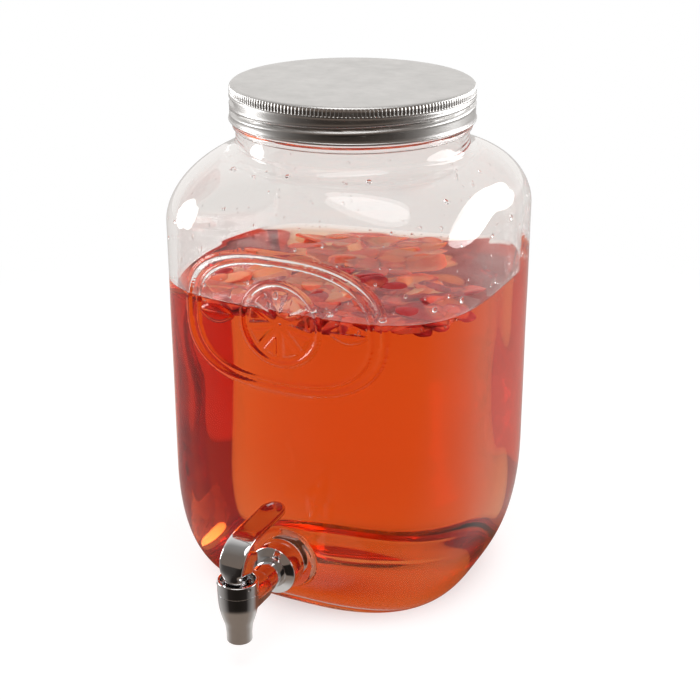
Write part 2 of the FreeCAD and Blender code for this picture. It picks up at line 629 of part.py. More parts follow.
def stem_spring():
    """The coil spring that presses the plug shut, between the stem's shoulder and the bonnet."""
    low = SHOULDER_TOP_Z + SPRING_WIRE_RADIUS + FIT
    high = CHAMBER_TOP_Z - SPRING_WIRE_RADIUS - FIT
    points_per_turn = 16
    count = points_per_turn * SPRING_TURNS
    points = []
    for step in range(count + 1):
        angle = 2 * math.pi * step / points_per_turn
        rise = (high - low) * step / count
        points.append(Vector(SPRING_RADIUS * math.cos(angle), SPRING_RADIUS * math.sin(angle), rise))
    coil = Part.BSplineCurve()
    coil.interpolate(Points=points)
    climb = (high - low) / SPRING_TURNS
    along = Vector(0, 2 * math.pi * SPRING_RADIUS, climb)
    wire_section = Part.Circle(Vector(SPRING_RADIUS, 0, 0), along, SPRING_WIRE_RADIUS)
    spring = Part.Wire(coil.toShape()).makePipeShell([Part.Wire(wire_section.toShape())], True, True)
    spring.translate(Vector(0, BELL_Y, low))
    return spring


def build():
    """Every piece by name."""
    pieces = {
        "glass_jar": glass_jar(),
        "lid_cap": lid_cap(),
        "lid_liner": lid_liner(),
        "tap_flange": tap_flange(),
        "tap_shank": tap_shank(),
        "shank_oring": oring_y(SPIGOT_RADIUS - groove_depth(), spigot_groove_y()),
        "spout_body": spout_body(),
        "bonnet": bonnet(),
        "lever_handle": lever_handle(),
        "valve_stem": valve_stem(),
        "valve_plug": valve_plug(),
        "stem_spring": stem_spring(),
    }
    pieces.update(clamp_stack())
    pieces.update(bonnet_seals())
    pieces.update(lever_pins())
    return pieces


PIECES = build()
os.makedirs("parts", exist_ok=True)
for name, shape in PIECES.items():
    print(f"{name}: {len(shape.Solids)} solid, valid {shape.isValid()}, volume {shape.Volume:.1f}")
    shape.Solids[0].exportStep(f"parts/{name}.step")
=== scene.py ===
"""Glass drink dispenser jar: its looks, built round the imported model.

Metres, +Z up, the tap towards -Y. The classes hold their sizes in millimetres, as a maker notes them.
"""

import logging
import math
import random
from dataclasses import dataclass, field, replace
from enum import Enum
from typing import Callable, Iterator, Optional, Sequence, Union

import bmesh
import bpy
import numpy as np
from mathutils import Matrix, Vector

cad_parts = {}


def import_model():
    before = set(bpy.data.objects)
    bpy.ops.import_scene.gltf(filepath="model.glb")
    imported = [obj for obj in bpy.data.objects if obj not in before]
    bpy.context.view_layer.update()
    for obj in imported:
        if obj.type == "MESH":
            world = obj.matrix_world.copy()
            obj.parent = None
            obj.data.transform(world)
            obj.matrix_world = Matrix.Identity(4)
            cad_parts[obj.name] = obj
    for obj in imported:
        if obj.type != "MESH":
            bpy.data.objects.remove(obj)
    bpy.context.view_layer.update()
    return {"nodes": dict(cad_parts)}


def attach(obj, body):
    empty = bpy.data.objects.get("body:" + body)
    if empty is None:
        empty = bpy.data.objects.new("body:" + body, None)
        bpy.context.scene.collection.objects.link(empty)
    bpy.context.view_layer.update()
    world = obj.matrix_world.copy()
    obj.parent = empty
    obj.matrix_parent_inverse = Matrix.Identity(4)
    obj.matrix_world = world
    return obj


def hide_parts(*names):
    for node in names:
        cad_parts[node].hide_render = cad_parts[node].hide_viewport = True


LOG = logging.getLogger("dispenser")
MM = 0.001
SHARP_EDGE = math.radians(38)
WHITE = (1.0, 1.0, 1.0)
FAR = 200.0
SEEN_ALONG = 0.904
SEEN_ACROSS = 0.428

Pair = tuple[float, float]
Point = tuple[float, float, float]
Face = tuple[int, ...]
Row = tuple[float, float, float]
Colour = tuple[float, float, float]
Ramp = tuple[tuple[float, Colour], ...]
Value = Union[float, tuple[float, ...], bpy.types.NodeSocket]


class Carving(Enum):
    """What is done with the tool of a carving."""

    JOIN = "UNION"
    CUT = "DIFFERENCE"


class Side(Enum):
    """The two faces of the jar's wall."""

    OUTER = "outer"
    INNER = "inner"


def smoothstep(low: float, high: float, value: np.ndarray) -> np.ndarray:
    """A soft step from 0 at low to 1 at high."""
    t = np.clip((np.asarray(value, float) - low) / (high - low), 0.0, 1.0)
    return t * t * (3 - 2 * t)


def mesh_piece(name: str, points: np.ndarray, faces: Sequence[Face]) -> bpy.types.Object:
    """Makes a smooth-shaded mesh object.

    Args:
        name: the piece's name.
        points: its vertices in millimetres, one row each.
        faces: its faces as vertex numbers.

    Returns:
        The new object, linked to the scene.
    """
    mesh = bpy.data.meshes.new(name)
    mesh.from_pydata((np.asarray(points, float) * MM).tolist(), [], [tuple(f) for f in faces])
    mesh.validate()
    shade(mesh)
    piece = bpy.data.objects.new(name, mesh)
    bpy.context.scene.collection.objects.link(piece)
    return piece


def shade(mesh: bpy.types.Mesh, angle: float = SHARP_EDGE) -> None:
    """Turns the mesh's faces outwards and shades it smooth, with sharp edges past the angle."""
    shape = bmesh.new()
    shape.from_mesh(mesh)
    bmesh.ops.recalc_face_normals(shape, faces=shape.faces)
    shape.to_mesh(mesh)
    shape.free()
    mesh.polygons.foreach_set("use_smooth", [True] * len(mesh.polygons))
    mesh.set_sharp_from_angle(angle=angle)
    mesh.update()


def apply(piece: bpy.types.Object, modifier: bpy.types.Modifier) -> None:
    """Works a modifier into the piece's mesh."""
    bpy.context.view_layer.update()
    evaluated = piece.evaluated_get(bpy.context.evaluated_depsgraph_get())
    changed = bpy.data.meshes.new_from_object(evaluated)
    piece.modifiers.remove(modifier)
    old = piece.data
    changed.name = old.name
    piece.data = changed
    bpy.data.meshes.remove(old)
    shade(piece.data)


def carve(piece: bpy.types.Object, tool: bpy.types.Object, operation: Carving) -> None:
    """Joins the tool to the piece or cuts it away, and removes the tool."""
    modifier = piece.modifiers.new("carve", "BOOLEAN")
    modifier.operation = operation.value
    modifier.solver = "MANIFOLD"
    modifier.object = tool
    apply(piece, modifier)
    bpy.data.objects.remove(tool)


def soften(piece: bpy.types.Object, width: float, segments: int = 3) -> None:
    """Rounds the piece's sharp edges by a width in millimetres."""
    modifier = piece.modifiers.new("soften", "BEVEL")
    modifier.width = width * MM
    modifier.segments = segments
    modifier.limit_method = "ANGLE"
    modifier.angle_limit = SHARP_EDGE
    apply(piece, modifier)


def unit_ball(subdivisions: int) -> tuple[np.ndarray, list[Face]]:
    """The points and faces of a ball of radius 1."""
    ball = bmesh.new()
    bmesh.ops.create_icosphere(ball, subdivisions=subdivisions, radius=1.0)
    points = np.array([v.co for v in ball.verts])
    faces = [tuple(v.index for v in f.verts) for f in ball.faces]
    ball.free()
    return points, faces


def gathered(name: str, shapes: Sequence[np.ndarray], cells: Sequence[Face]) -> bpy.types.Object:
    """One piece made of many shapes that have the same faces."""
    count = len(shapes[0])
    faces = [tuple(k * count + corner for corner in cell) for k in range(len(shapes)) for cell in cells]
    return mesh_piece(name, np.concatenate(shapes), faces)


def refined_grid(
    rows: int, columns: int, fine: Callable[[int, int], bool], cuts: int
) -> tuple[np.ndarray, list[Face]]:
    """A closed band of cells, some of which are divided more finely.

    Args:
        rows: how many rows of points there are.
        columns: how many columns; the last one meets the first.
        fine: says whether the cell at (column, row) is divided.
        cuts: into how many parts a fine cell is divided each way.

    Returns:
        The points as (column, row) numbers, and the faces.
    """
    index: dict[tuple[int, int], int] = {}
    spots: list[Pair] = []
    faces: list[Face] = []

    def divided(column: int, row: int) -> bool:
        """Whether there is a fine cell here."""
        return 0 <= row < rows - 1 and fine(column % columns, row)

    def corner(across: int, up: int) -> int:
        """The number of the point here, made when it is first asked for."""
        key = (across % (columns * cuts), up)
        if key not in index:
            index[key] = len(spots)
            spots.append((key[0] / cuts, up / cuts))
        return index[key]

    for row in range(rows - 1):
        for column in range(columns):
            left, low = column * cuts, row * cuts
            if divided(column, row):
                for up in range(low, low + cuts):
                    for across in range(left, left + cuts):
                        faces.append((
                            corner(across, up), corner(across + 1, up),
                            corner(across + 1, up + 1), corner(across, up + 1),
                        ))
                continue
            south = 1 if divided(column, row - 1) else cuts
            east = 1 if divided(column + 1, row) else cuts
            north = 1 if divided(column, row + 1) else cuts
            west = 1 if divided(column - 1, row) else cuts
            ring = [corner(left + k, low) for k in range(0, cuts, south)]
            ring += [corner(left + cuts, low + k) for k in range(0, cuts, east)]
            ring += [corner(left + cuts - k, low + cuts) for k in range(0, cuts, north)]
            ring += [corner(left, low + cuts - k) for k in range(0, cuts, west)]
            faces.append(tuple(ring))
    return np.array(spots), faces


def end_face(spots: np.ndarray, row: int) -> Face:
    """The face that closes a band of cells at one of its end rows."""
    ends = np.where(spots[:, 1] == row)[0]
    return tuple(int(k) for k in ends[np.argsort(spots[ends, 0])])


def rows_between(values: np.ndarray, spots: np.ndarray) -> np.ndarray:
    """Reads a table of rows at fractional row numbers, on a smooth curve through the rows."""
    last = len(values) - 1
    base = np.clip(np.floor(spots).astype(int), 0, last)
    share = (spots - base)[:, None]
    before = values[np.clip(base - 1, 0, last)]
    here = values[base]
    after = values[np.clip(base + 1, 0, last)]
    beyond = values[np.clip(base + 2, 0, last)]
    bend = (2 * before - 5 * here + 4 * after - beyond) * share ** 2
    twist = (3 * here - before - 3 * after + beyond) * share ** 3
    return here + 0.5 * ((after - before) * share + bend + twist)


def lathe(
    name: str, profile: Sequence[Pair], centre: Point, level: bool = False, columns: int = 128
) -> bpy.types.Object:
    """Turns a closed outline round an axis.

    Args:
        name: the piece's name.
        profile: (radius, place along the axis) corners in millimetres, at radius 0 on the axis.
        centre: a point on the axis.
        level: True for an axis along Y, False for an upright one.
        columns: how many steps the turn has.

    Returns:
        The turned solid.
    """
    points: list[Point] = []
    rings: list[list[int]] = []
    for radius, along in profile:
        if radius < 1e-6:
            rings.append([len(points)])
            points.append((0.0, 0.0, along))
            continue
        rings.append(list(range(len(points), len(points) + columns)))
        for step in range(columns):
            angle = 2 * math.pi * step / columns
            points.append((radius * math.cos(angle), radius * math.sin(angle), along))
    faces: list[Face] = []
    for here, there in zip(rings, rings[1:] + rings[:1]):
        for step in range(columns):
            ahead = (step + 1) % columns
            if len(here) > 1 and len(there) > 1:
                faces.append((here[step], here[ahead], there[ahead], there[step]))
            elif len(here) > 1:
                faces.append((here[step], here[ahead], there[0]))
            elif len(there) > 1:
                faces.append((here[0], there[ahead], there[step]))
    place = np.array(points)
    if level:
        place = place[:, [0, 2, 1]]
    return mesh_piece(name, place + np.array(centre), faces)


def rod(radius: float, start: float, end: float) -> list[Pair]:
    """The outline of a plain rod for the lathe."""
    return [(0.0, start), (radius, start), (radius, end), (0.0, end)]


def rounded(profile: Sequence[Point], steps: int = 5) -> list[Pair]:
    """Rounds the corners of a closed outline.

    Args:
        profile: (radius, along, rounding) corners.
        steps: how many parts each rounding has.

    Returns:
        The (radius, along) corners of the rounded outline.
    """
    result: list[Pair] = []
    count = len(profile)
    for k, (radius, along, rounding) in enumerate(profile):
        here = Vector((radius, along))
        if rounding <= 0:
            result.append((radius, along))
            continue
        before = Vector(profile[k - 1][:2]) - here
        after = Vector(profile[(k + 1) % count][:2]) - here
        start = here + before.normalized() * min(rounding, before.length * 0.49)
        end = here + after.normalized() * min(rounding, after.length * 0.49)
        for step in range(steps + 1):
            t = step / steps
            spot = start * (1 - t) ** 2 + here * (2 * t * (1 - t)) + end * t ** 2
            result.append((spot.x, spot.y))
    return result


class Sketch:
    """A material's node tree while it is being drawn."""

    def __init__(self, tree: bpy.types.NodeTree) -> None:
        """Starts on an empty tree."""
        self.tree = tree
        self.tree.nodes.clear()

    def add(self, kind: str, settings: Optional[dict] = None, **inputs: Value) -> bpy.types.Node:
        """Adds a node.

        Args:
            kind: the node's type name.
            settings: the node's own properties.
            **inputs: values, or sockets to link, by input name with _ for a space.

        Returns:
            The node.
        """
        node = self.tree.nodes.new(kind)
        for key, value in (settings or {}).items():
            setattr(node, key, value)
        for key, value in inputs.items():
            self.feed(node.inputs[key.replace("_", " ")], value)
        return node

    def feed(self, socket: bpy.types.NodeSocket, value: Value) -> None:
        """Links a socket to an input, or sets the input's value."""
        if isinstance(value, bpy.types.NodeSocket):
            self.tree.links.new(value, socket)
        elif isinstance(value, tuple) and len(value) == 3 and socket.type == "RGBA":
            socket.default_value = (*value, 1.0)
        else:
            socket.default_value = value

    def _two(
        self, node: bpy.types.Node, places: tuple[int, int], first: Value, second: Value
    ) -> bpy.types.Node:
        """Feeds two of a node's inputs by their places."""
        for place, value in zip(places, (first, second)):
            self.feed(node.inputs[place], value)
        return node

    def maths(
        self, operation: str, first: Value, second: Value, clamp: bool = False
    ) -> bpy.types.NodeSocket:
        """The result of a sum on two values."""
        node = self.add("ShaderNodeMath", {"operation": operation, "use_clamp": clamp})
        return self._two(node, (0, 1), first, second).outputs[0]

    def vectors(
        self, operation: str, first: Value, second: Value = (0.0, 0.0, 0.0)
    ) -> bpy.types.NodeSocket:
        """The result of a sum on vectors: a value for a length or a dot product, else a vector."""
        node = self.add("ShaderNodeVectorMath", {"operation": operation})
        self._two(node, (0, 1), first, second)
        return node.outputs["Value" if operation in ("LENGTH", "DOT_PRODUCT") else "Vector"]

    def blend(self, share: Value, first: Value, second: Value) -> bpy.types.NodeSocket:
        """A colour between two colours."""
        node = self.add("ShaderNodeMix", {"data_type": "RGBA"})
        self.feed(node.inputs[0], share)
        return self._two(node, (6, 7), first, second).outputs[2]

    def between(self, share: Value, first: Value, second: Value) -> bpy.types.NodeSocket:
        """A shader between two shaders."""
        node = self.add("ShaderNodeMixShader", Fac=share)
        return self._two(node, (1, 2), first, second).outputs[0]

    def span(
        self, value: Value, start: Pair, to: tuple[Value, Value] = (0.0, 1.0), soft: bool = False
    ) -> bpy.types.NodeSocket:
        """A value carried from one range to another.

        Args:
            value: the value.
            start: the range that it comes from.
            to: the range that it is carried to.
            soft: True to ease it in and out.

        Returns:
            The carried value.
        """
        easing = "SMOOTHSTEP" if soft else "LINEAR"
        node = self.add(
            "ShaderNodeMapRange", {"interpolation_type": easing}, Value=value, From_Min=start[0],
            From_Max=start[1], To_Min=to[0], To_Max=to[1],
        )
        return node.outputs[0]

    def bump(self, strength: float, depth: float, height: bpy.types.NodeSocket) -> bpy.types.NodeSocket:
        """The surface's direction where heights up to a depth in millimetres lie on it."""
        node = self.add("ShaderNodeBump", Strength=strength, Distance=depth * MM, Height=height)
        return node.outputs["Normal"]

    def end(self, shader: bpy.types.NodeSocket, kind: str = "Material") -> bpy.types.Node:
        """Adds the tree's output for a shader, and returns its node."""
        return self.add(f"ShaderNodeOutput{kind}", Surface=shader)


def blank(name: str) -> tuple[bpy.types.Material, Sketch]:
    """A new material, and a sketch of its empty node tree."""
    material = bpy.data.materials.new(name)
    material.use_nodes = True
    return material, Sketch(material.node_tree)


class Effects:
    """The effects that several finishes share, as shader node groups."""

    def __init__(self) -> None:
        """Draws each group once."""
        self.mottle = self._draw_mottle()
        self.scuffs = self._draw_scuffs()

    @staticmethod
    def _group(
        name: str, inputs: dict[str, Union[float, tuple[float, ...]]], outputs: Sequence[tuple[str, str]]
    ) -> tuple[bpy.types.NodeTree, Sketch, bpy.types.Node, bpy.types.Node]:
        """Makes an empty node group with named sockets.

        Args:
            name: the group's name.
            inputs: the default of each input, which is a colour or a number.
            outputs: (name, socket type) for each output.

        Returns:
            The group, its sketch, and its input and output nodes.
        """
        group = bpy.data.node_groups.new(name, "ShaderNodeTree")
        for label, default in inputs.items():
            kind = "NodeSocketColor" if isinstance(default, tuple) else "NodeSocketFloat"
            socket = group.interface.new_socket(label, in_out="INPUT", socket_type=kind)
            socket.default_value = default
        for label, kind in outputs:
            group.interface.new_socket(label, in_out="OUTPUT", socket_type=kind)
        sketch = Sketch(group)
        return group, sketch, sketch.add("NodeGroupInput"), sketch.add("NodeGroupOutput")

    def _draw_mottle(self) -> bpy.types.NodeTree:
        """Soft uneven colour, roughness and height, as on any handled surface."""
        group, sketch, given, out = self._group(
            "surface_mottle",
            {
                "Colour": (0.8, 0.8, 0.8, 1.0), "Second Colour": (0.7, 0.7, 0.7, 1.0), "Scale": 120.0,
                "Rough Low": 0.2, "Rough High": 0.4,
            },
            [
                ("Colour", "NodeSocketColor"), ("Roughness", "NodeSocketFloat"),
                ("Height", "NodeSocketFloat"),
            ],
        )
        place = sketch.add("ShaderNodeTexCoord").outputs["Object"]
        scale = given.outputs["Scale"]
        broad = sketch.add("ShaderNodeTexNoise", Vector=place, Scale=scale, Detail=5.0, Roughness=0.6)
        finer = sketch.maths("MULTIPLY", scale, 7.0)
        fine = sketch.add("ShaderNodeTexNoise", Vector=place, Scale=finer, Detail=3.0)
        patches = (0.3, 0.7)
        mask = sketch.span(broad.outputs["Fac"], patches)
        tint = sketch.blend(mask, given.outputs["Colour"], given.outputs["Second Colour"])
        limits = (given.outputs["Rough Low"], given.outputs["Rough High"])
        rough = sketch.span(broad.outputs["Fac"], patches, limits)
        for label, value in (("Colour", tint), ("Roughness", rough), ("Height", fine.outputs["Fac"])):
            sketch.feed(out.inputs[label], value)
        return group

    def _draw_scuffs(self) -> bpy.types.NodeTree:
        """Fine hair scratches in two directions, as a mask."""
        group, sketch, given, out = self._group(
            "hair_scuffs", {"Scale": 60.0, "Amount": 0.5}, [("Mask", "NodeSocketFloat")]
        )
        place = sketch.add("ShaderNodeTexCoord").outputs["Object"]
        scale = given.outputs["Scale"]
        masks = []
        for turn in (0.35, 1.9):
            stretched = sketch.add(
                "ShaderNodeMapping", Vector=place, Rotation=(0.2, turn * 0.4, turn),
                Scale=(1.0, 34.0, 6.0),
            ).outputs[0]
            noise = sketch.add("ShaderNodeTexNoise", Vector=stretched, Scale=scale, Detail=2.0)
            masks.append(sketch.span(noise.outputs["Fac"], (0.66, 0.74)))
        either = sketch.maths("MAXIMUM", *masks)
        sketch.feed(out.inputs["Mask"], sketch.maths("MULTIPLY", either, given.outputs["Amount"]))
        return group


@dataclass(frozen=True)
class OpaqueFinish:
    """A finish that light doesn't pass: metal, plastic or rubber."""

    name: str
    colour: Colour
    second: Colour
    rough: Pair
    scale: float = 120.0
    metallic: float = 0.0
    bump: float = 0.05
    bump_depth: float = 0.02
    scuffs: float = 0.0

    def material(self, effects: Effects) -> bpy.types.Material:
        """Draws the finish with the shared effects."""
        material, sketch = blank(self.name)
        mottle = sketch.add(
            "ShaderNodeGroup", {"node_tree": effects.mottle}, Colour=self.colour,
            Second_Colour=self.second, Scale=self.scale, Rough_Low=self.rough[0],
            Rough_High=self.rough[1],
        )
        roughness = mottle.outputs["Roughness"]
        if self.scuffs > 0:
            scuffs = sketch.add("ShaderNodeGroup", {"node_tree": effects.scuffs}, Amount=self.scuffs)
            roughness = sketch.maths("ADD", roughness, scuffs.outputs["Mask"], clamp=True)
        bump = sketch.bump(self.bump, self.bump_depth, mottle.outputs["Height"])
        shader = sketch.add(
            "ShaderNodeBsdfPrincipled", Base_Color=mottle.outputs["Colour"], Roughness=roughness,
            Metallic=self.metallic, Normal=bump,
        )
        sketch.end(shader.outputs[0])
        return material


@dataclass(frozen=True)
class ClearFinish:
    """Glass, drink or water: it bends light, and lets part of the lamps' light through as its shadow."""

    name: str
    colour: Colour
    bend: float
    shadow: Colour
    absorbed: Colour = WHITE
    density: float = 0.0
    ripple: float = 0.0
    ripple_scale: float = 40.0
    ripple_depth: float = 0.3
    mirror: float = 1.0

    def material(self, effects: Effects) -> bpy.types.Material:
        """Draws the finish with the shared effects."""
        material, sketch = blank(self.name)
        mottle = sketch.add("ShaderNodeGroup", {"node_tree": effects.mottle}, Scale=self.ripple_scale)
        bump = sketch.bump(self.ripple, self.ripple_depth, mottle.outputs["Height"])
        shader = sketch.add(
            "ShaderNodeBsdfPrincipled", Base_Color=self.colour, Roughness=0.0, IOR=self.bend,
            Transmission_Weight=1.0, Specular_Tint=(self.mirror,) * 3, Normal=bump,
        )
        light = sketch.add("ShaderNodeLightPath")
        lets_through = sketch.add("ShaderNodeBsdfTransparent", Color=self.shadow)
        mix = sketch.between(light.outputs["Is Shadow Ray"], shader.outputs[0], lets_through.outputs[0])
        output = sketch.end(mix)
        if self.density > 0:
            depth = sketch.add("ShaderNodeVolumeAbsorption", Color=self.absorbed, Density=self.density)
            sketch.feed(output.inputs["Volume"], depth.outputs[0])
        return material


@dataclass(frozen=True)
class FruitFinish:
    """Wet fruit: skin that gives way to paler flesh where the fruit is cut."""

    name: str
    skin: Colour
    deeper: Colour
    flesh: Colour
    scale: float = 55.0
    blush: float = 0.55
    bump: float = 0.35
    bump_depth: float = 0.4
    bend: float = 1.1
    soft: float = 0.5
    soft_depth: float = 4.0

    def material(self, effects: Effects) -> bpy.types.Material:
        """Draws the finish with the shared effects."""
        material, sketch = blank(self.name)
        blush = tuple((1 - self.blush) * c + self.blush * s for c, s in zip(self.flesh, self.skin))
        skin = sketch.add(
            "ShaderNodeGroup", {"node_tree": effects.mottle}, Colour=self.skin,
            Second_Colour=self.deeper, Scale=self.scale, Rough_Low=0.12, Rough_High=0.3,
        )
        flesh = sketch.add(
            "ShaderNodeGroup", {"node_tree": effects.mottle}, Colour=self.flesh, Second_Colour=blush,
            Scale=self.scale * 1.7, Rough_Low=0.15, Rough_High=0.35,
        )
        cut = sketch.add("ShaderNodeAttribute", {"attribute_name": "cut"})
        tint = sketch.blend(cut.outputs["Fac"], skin.outputs["Colour"], flesh.outputs["Colour"])
        bump = sketch.bump(self.bump, self.bump_depth, skin.outputs["Height"])
        shader = sketch.add(
            "ShaderNodeBsdfPrincipled", Base_Color=tint, Roughness=skin.outputs["Roughness"],
            Normal=bump, Subsurface_Weight=self.soft, Subsurface_Scale=self.soft_depth * MM,
            IOR=self.bend,
        )
        sketch.end(shader.outputs[0])
        return material


Finish = Union[OpaqueFinish, ClearFinish, FruitFinish]


@dataclass
class JarForm:
    """The jar's outline: a rounded square that grows from its foot and draws in to its neck."""

    body_width: float = 203.4
    body_depth: float = 197.4
    foot_width: float = 148.0
    neck_radius: float = 71.6
    wall: float = 4.5
    floor: float = 7.0
    base_rise: float = 80.6
    base_curve: float = 2.3
    shoulder_low: float = 241.0
    shoulder_drop: float = 39.7
    shoulder_curve: float = 1.8
    squareness: float = 3.6
    foot_squareness: float = 2.44
    tap_height: float = 42.0
    pad_face: float = -99.5
    pad_radius: float = 20.0
    inner_pad_face: float = -91.0
    inner_pad_radius: float = 17.0
    pad_edge: Pair = (-1.2, 1.4)
    pad_reach: float = -40.0
    wet_top: float = 204.0

    def base_rows(self, side: Side, inset: float, step: float) -> list[Row]:
        """The sections of the base's curve, from the floor up.

        Args:
            side: which face of the wall.
            inset: how far the sections are drawn in from the outer face.
            step: the step of the curve, in degrees.

        Returns:
            (height, half width, squareness) rows.
        """
        low = 0.0 if side is Side.OUTER else self.floor + inset - self.wall
        body = self.body_width / 2 - inset
        foot = self.foot_width / 2 - inset
        rows = []
        for turn in np.radians(np.arange(0, 90.01, step)):
            grow = math.sin(turn) ** (2 / self.base_curve)
            fall = max(math.cos(turn), 0.0) ** (2 / self.base_curve)
            height = low + (self.base_rise - low) * (1 - fall)
            square = self.foot_squareness + (self.squareness - self.foot_squareness) * grow
            rows.append((height, foot + (body - foot) * grow, square))
        return rows

    def shoulder_rows(self, side: Side, inset: float, step: float) -> list[Row]:
        """The sections of the shoulder, up to where it turns into the neck."""
        drop = self.shoulder_drop if side is Side.OUTER else self.shoulder_drop - self.wall
        body = self.body_width / 2 - inset
        neck = self.neck_radius - inset
        rows = []
        for turn in np.radians(np.arange(0, 74.01, step)):
            fall = math.cos(turn) ** (2 / self.shoulder_curve)
            climb = math.sin(turn) ** (2 / self.shoulder_curve)
            square = 2 + (self.squareness - 2) * fall
            rows.append((self.shoulder_low + drop * climb, neck + (body - neck) * fall, square))
        top, width, square = rows[-1]
        meet = self.shoulder_low + drop + 6.0
        for t in (0.2, 0.4, 0.6, 0.8, 1.0):
            height = top * (1 - t) ** 2 + (top + 2.2) * 2 * t * (1 - t) + meet * t ** 2
            radius = width * (1 - t) ** 2 + (neck + 0.4) * 2 * t * (1 - t) + neck * t ** 2
            rows.append((height, radius, square * (1 - t) + 2 * t))
        return rows

    def ring(self, angle: np.ndarray, half_width: np.ndarray, square: np.ndarray) -> np.ndarray:
        """The radius of a section in each direction."""
        ratio = self.body_depth / self.body_width
        round_share = np.clip((self.squareness - square) / (self.squareness - 2), 0, 1)
        half_depth = half_width * (ratio + (1 - ratio) * round_share)
        across = np.abs(np.cos(angle) / half_width) ** square
        along = np.abs(np.sin(angle) / half_depth) ** square
        return (across + along) ** (-1 / square)

    def outward(self, angle: np.ndarray, half_width: np.ndarray, square: np.ndarray) -> np.ndarray:
        """The level direction square to a section, in each direction."""
        small = 1e-3
        radius = self.ring(angle, half_width, square)
        slope = (self.ring(angle + small, half_width, square) - radius) / small
        x = radius * np.cos(angle) + slope * np.sin(angle)
        y = radius * np.sin(angle) - slope * np.cos(angle)
        length = np.hypot(x, y)
        return np.stack([x / length, y / length, np.zeros_like(x)], 1)

    def place(self, angle: np.ndarray, rows: np.ndarray) -> np.ndarray:
        """The points of the plain outline at these directions and rows."""
        radius = self.ring(angle, rows[:, 1], rows[:, 2])
        return np.stack([radius * np.cos(angle), radius * np.sin(angle), rows[:, 0]], 1)

    def press_pad(self, points: np.ndarray, face: float, radius: float) -> np.ndarray:
        """Presses the round flat for the tap into a wall.

        Args:
            points: the wall's points.
            face: the flat's place along Y.
            radius: the flat's radius.

        Returns:
            The points, with those of the flat moved to it.
        """
        away = np.hypot(points[:, 0], points[:, 2] - self.tap_height)
        start, end = (radius + edge for edge in self.pad_edge)
        share = (1 - smoothstep(start, end, away)) * (points[:, 1] < self.pad_reach)
        moved = points.copy()
        moved[:, 1] = points[:, 1] * (1 - share) + face * share
        return moved

    def inner_spot(self, angle: float, height: float) -> tuple[np.ndarray, np.ndarray]:
        """A point on the jar's inner face above the base, and the direction out of the glass there.

        Args:
            angle: the direction from the axis.
            height: the point's height, from the base's curve to the shoulder.

        Returns:
            The point and the inward direction.
        """
        rows = self.inner_wall_rows()
        heights = np.array([r[0] for r in rows])
        table = np.array(rows)

        def at(z: float, turn: float) -> np.ndarray:
            """The inner face's point at a height and direction."""
            row = np.array([[np.interp(z, heights, table[:, k]) for k in range(3)]])
            row[0, 0] = z
            return self.place(np.array([turn]), row)[0]

        here = at(height, angle)
        up = at(height + 0.2, angle) - here
        round_it = at(height, angle + 0.002) - here
        inward = np.cross(up, round_it)
        return here, inward / np.linalg.norm(inward)

    def inner_wall_rows(self) -> list[Row]:
        """The inner face's sections from the body's foot to the neck."""
        body = self.body_width / 2 - self.wall
        return [(self.base_rise, body, self.squareness), *self.shoulder_rows(Side.INNER, self.wall, 2)]


@dataclass
class Thread:
    """A two-start thread round the neck. Each start covers a turn given in degrees."""

    low: float
    lead: float = 12.0
    turn: float = 200.0
    first: float = -150.0

    def starts(self, angle: np.ndarray, fade: float) -> Iterator[tuple[np.ndarray, np.ndarray]]:
        """Gives each start's height in each direction, and its strength, which fades at both ends.

        Args:
            angle: the directions.
            fade: over how many degrees each end fades.

        Yields:
            The heights and the strengths of one start.
        """
        for start in (self.first, self.first + 180):
            along = (np.degrees(angle) - start) % 360
            ends = smoothstep(0, fade, along) * (1 - smoothstep(self.turn - fade, self.turn, along))
            yield self.low + self.lead * along / 360, ends


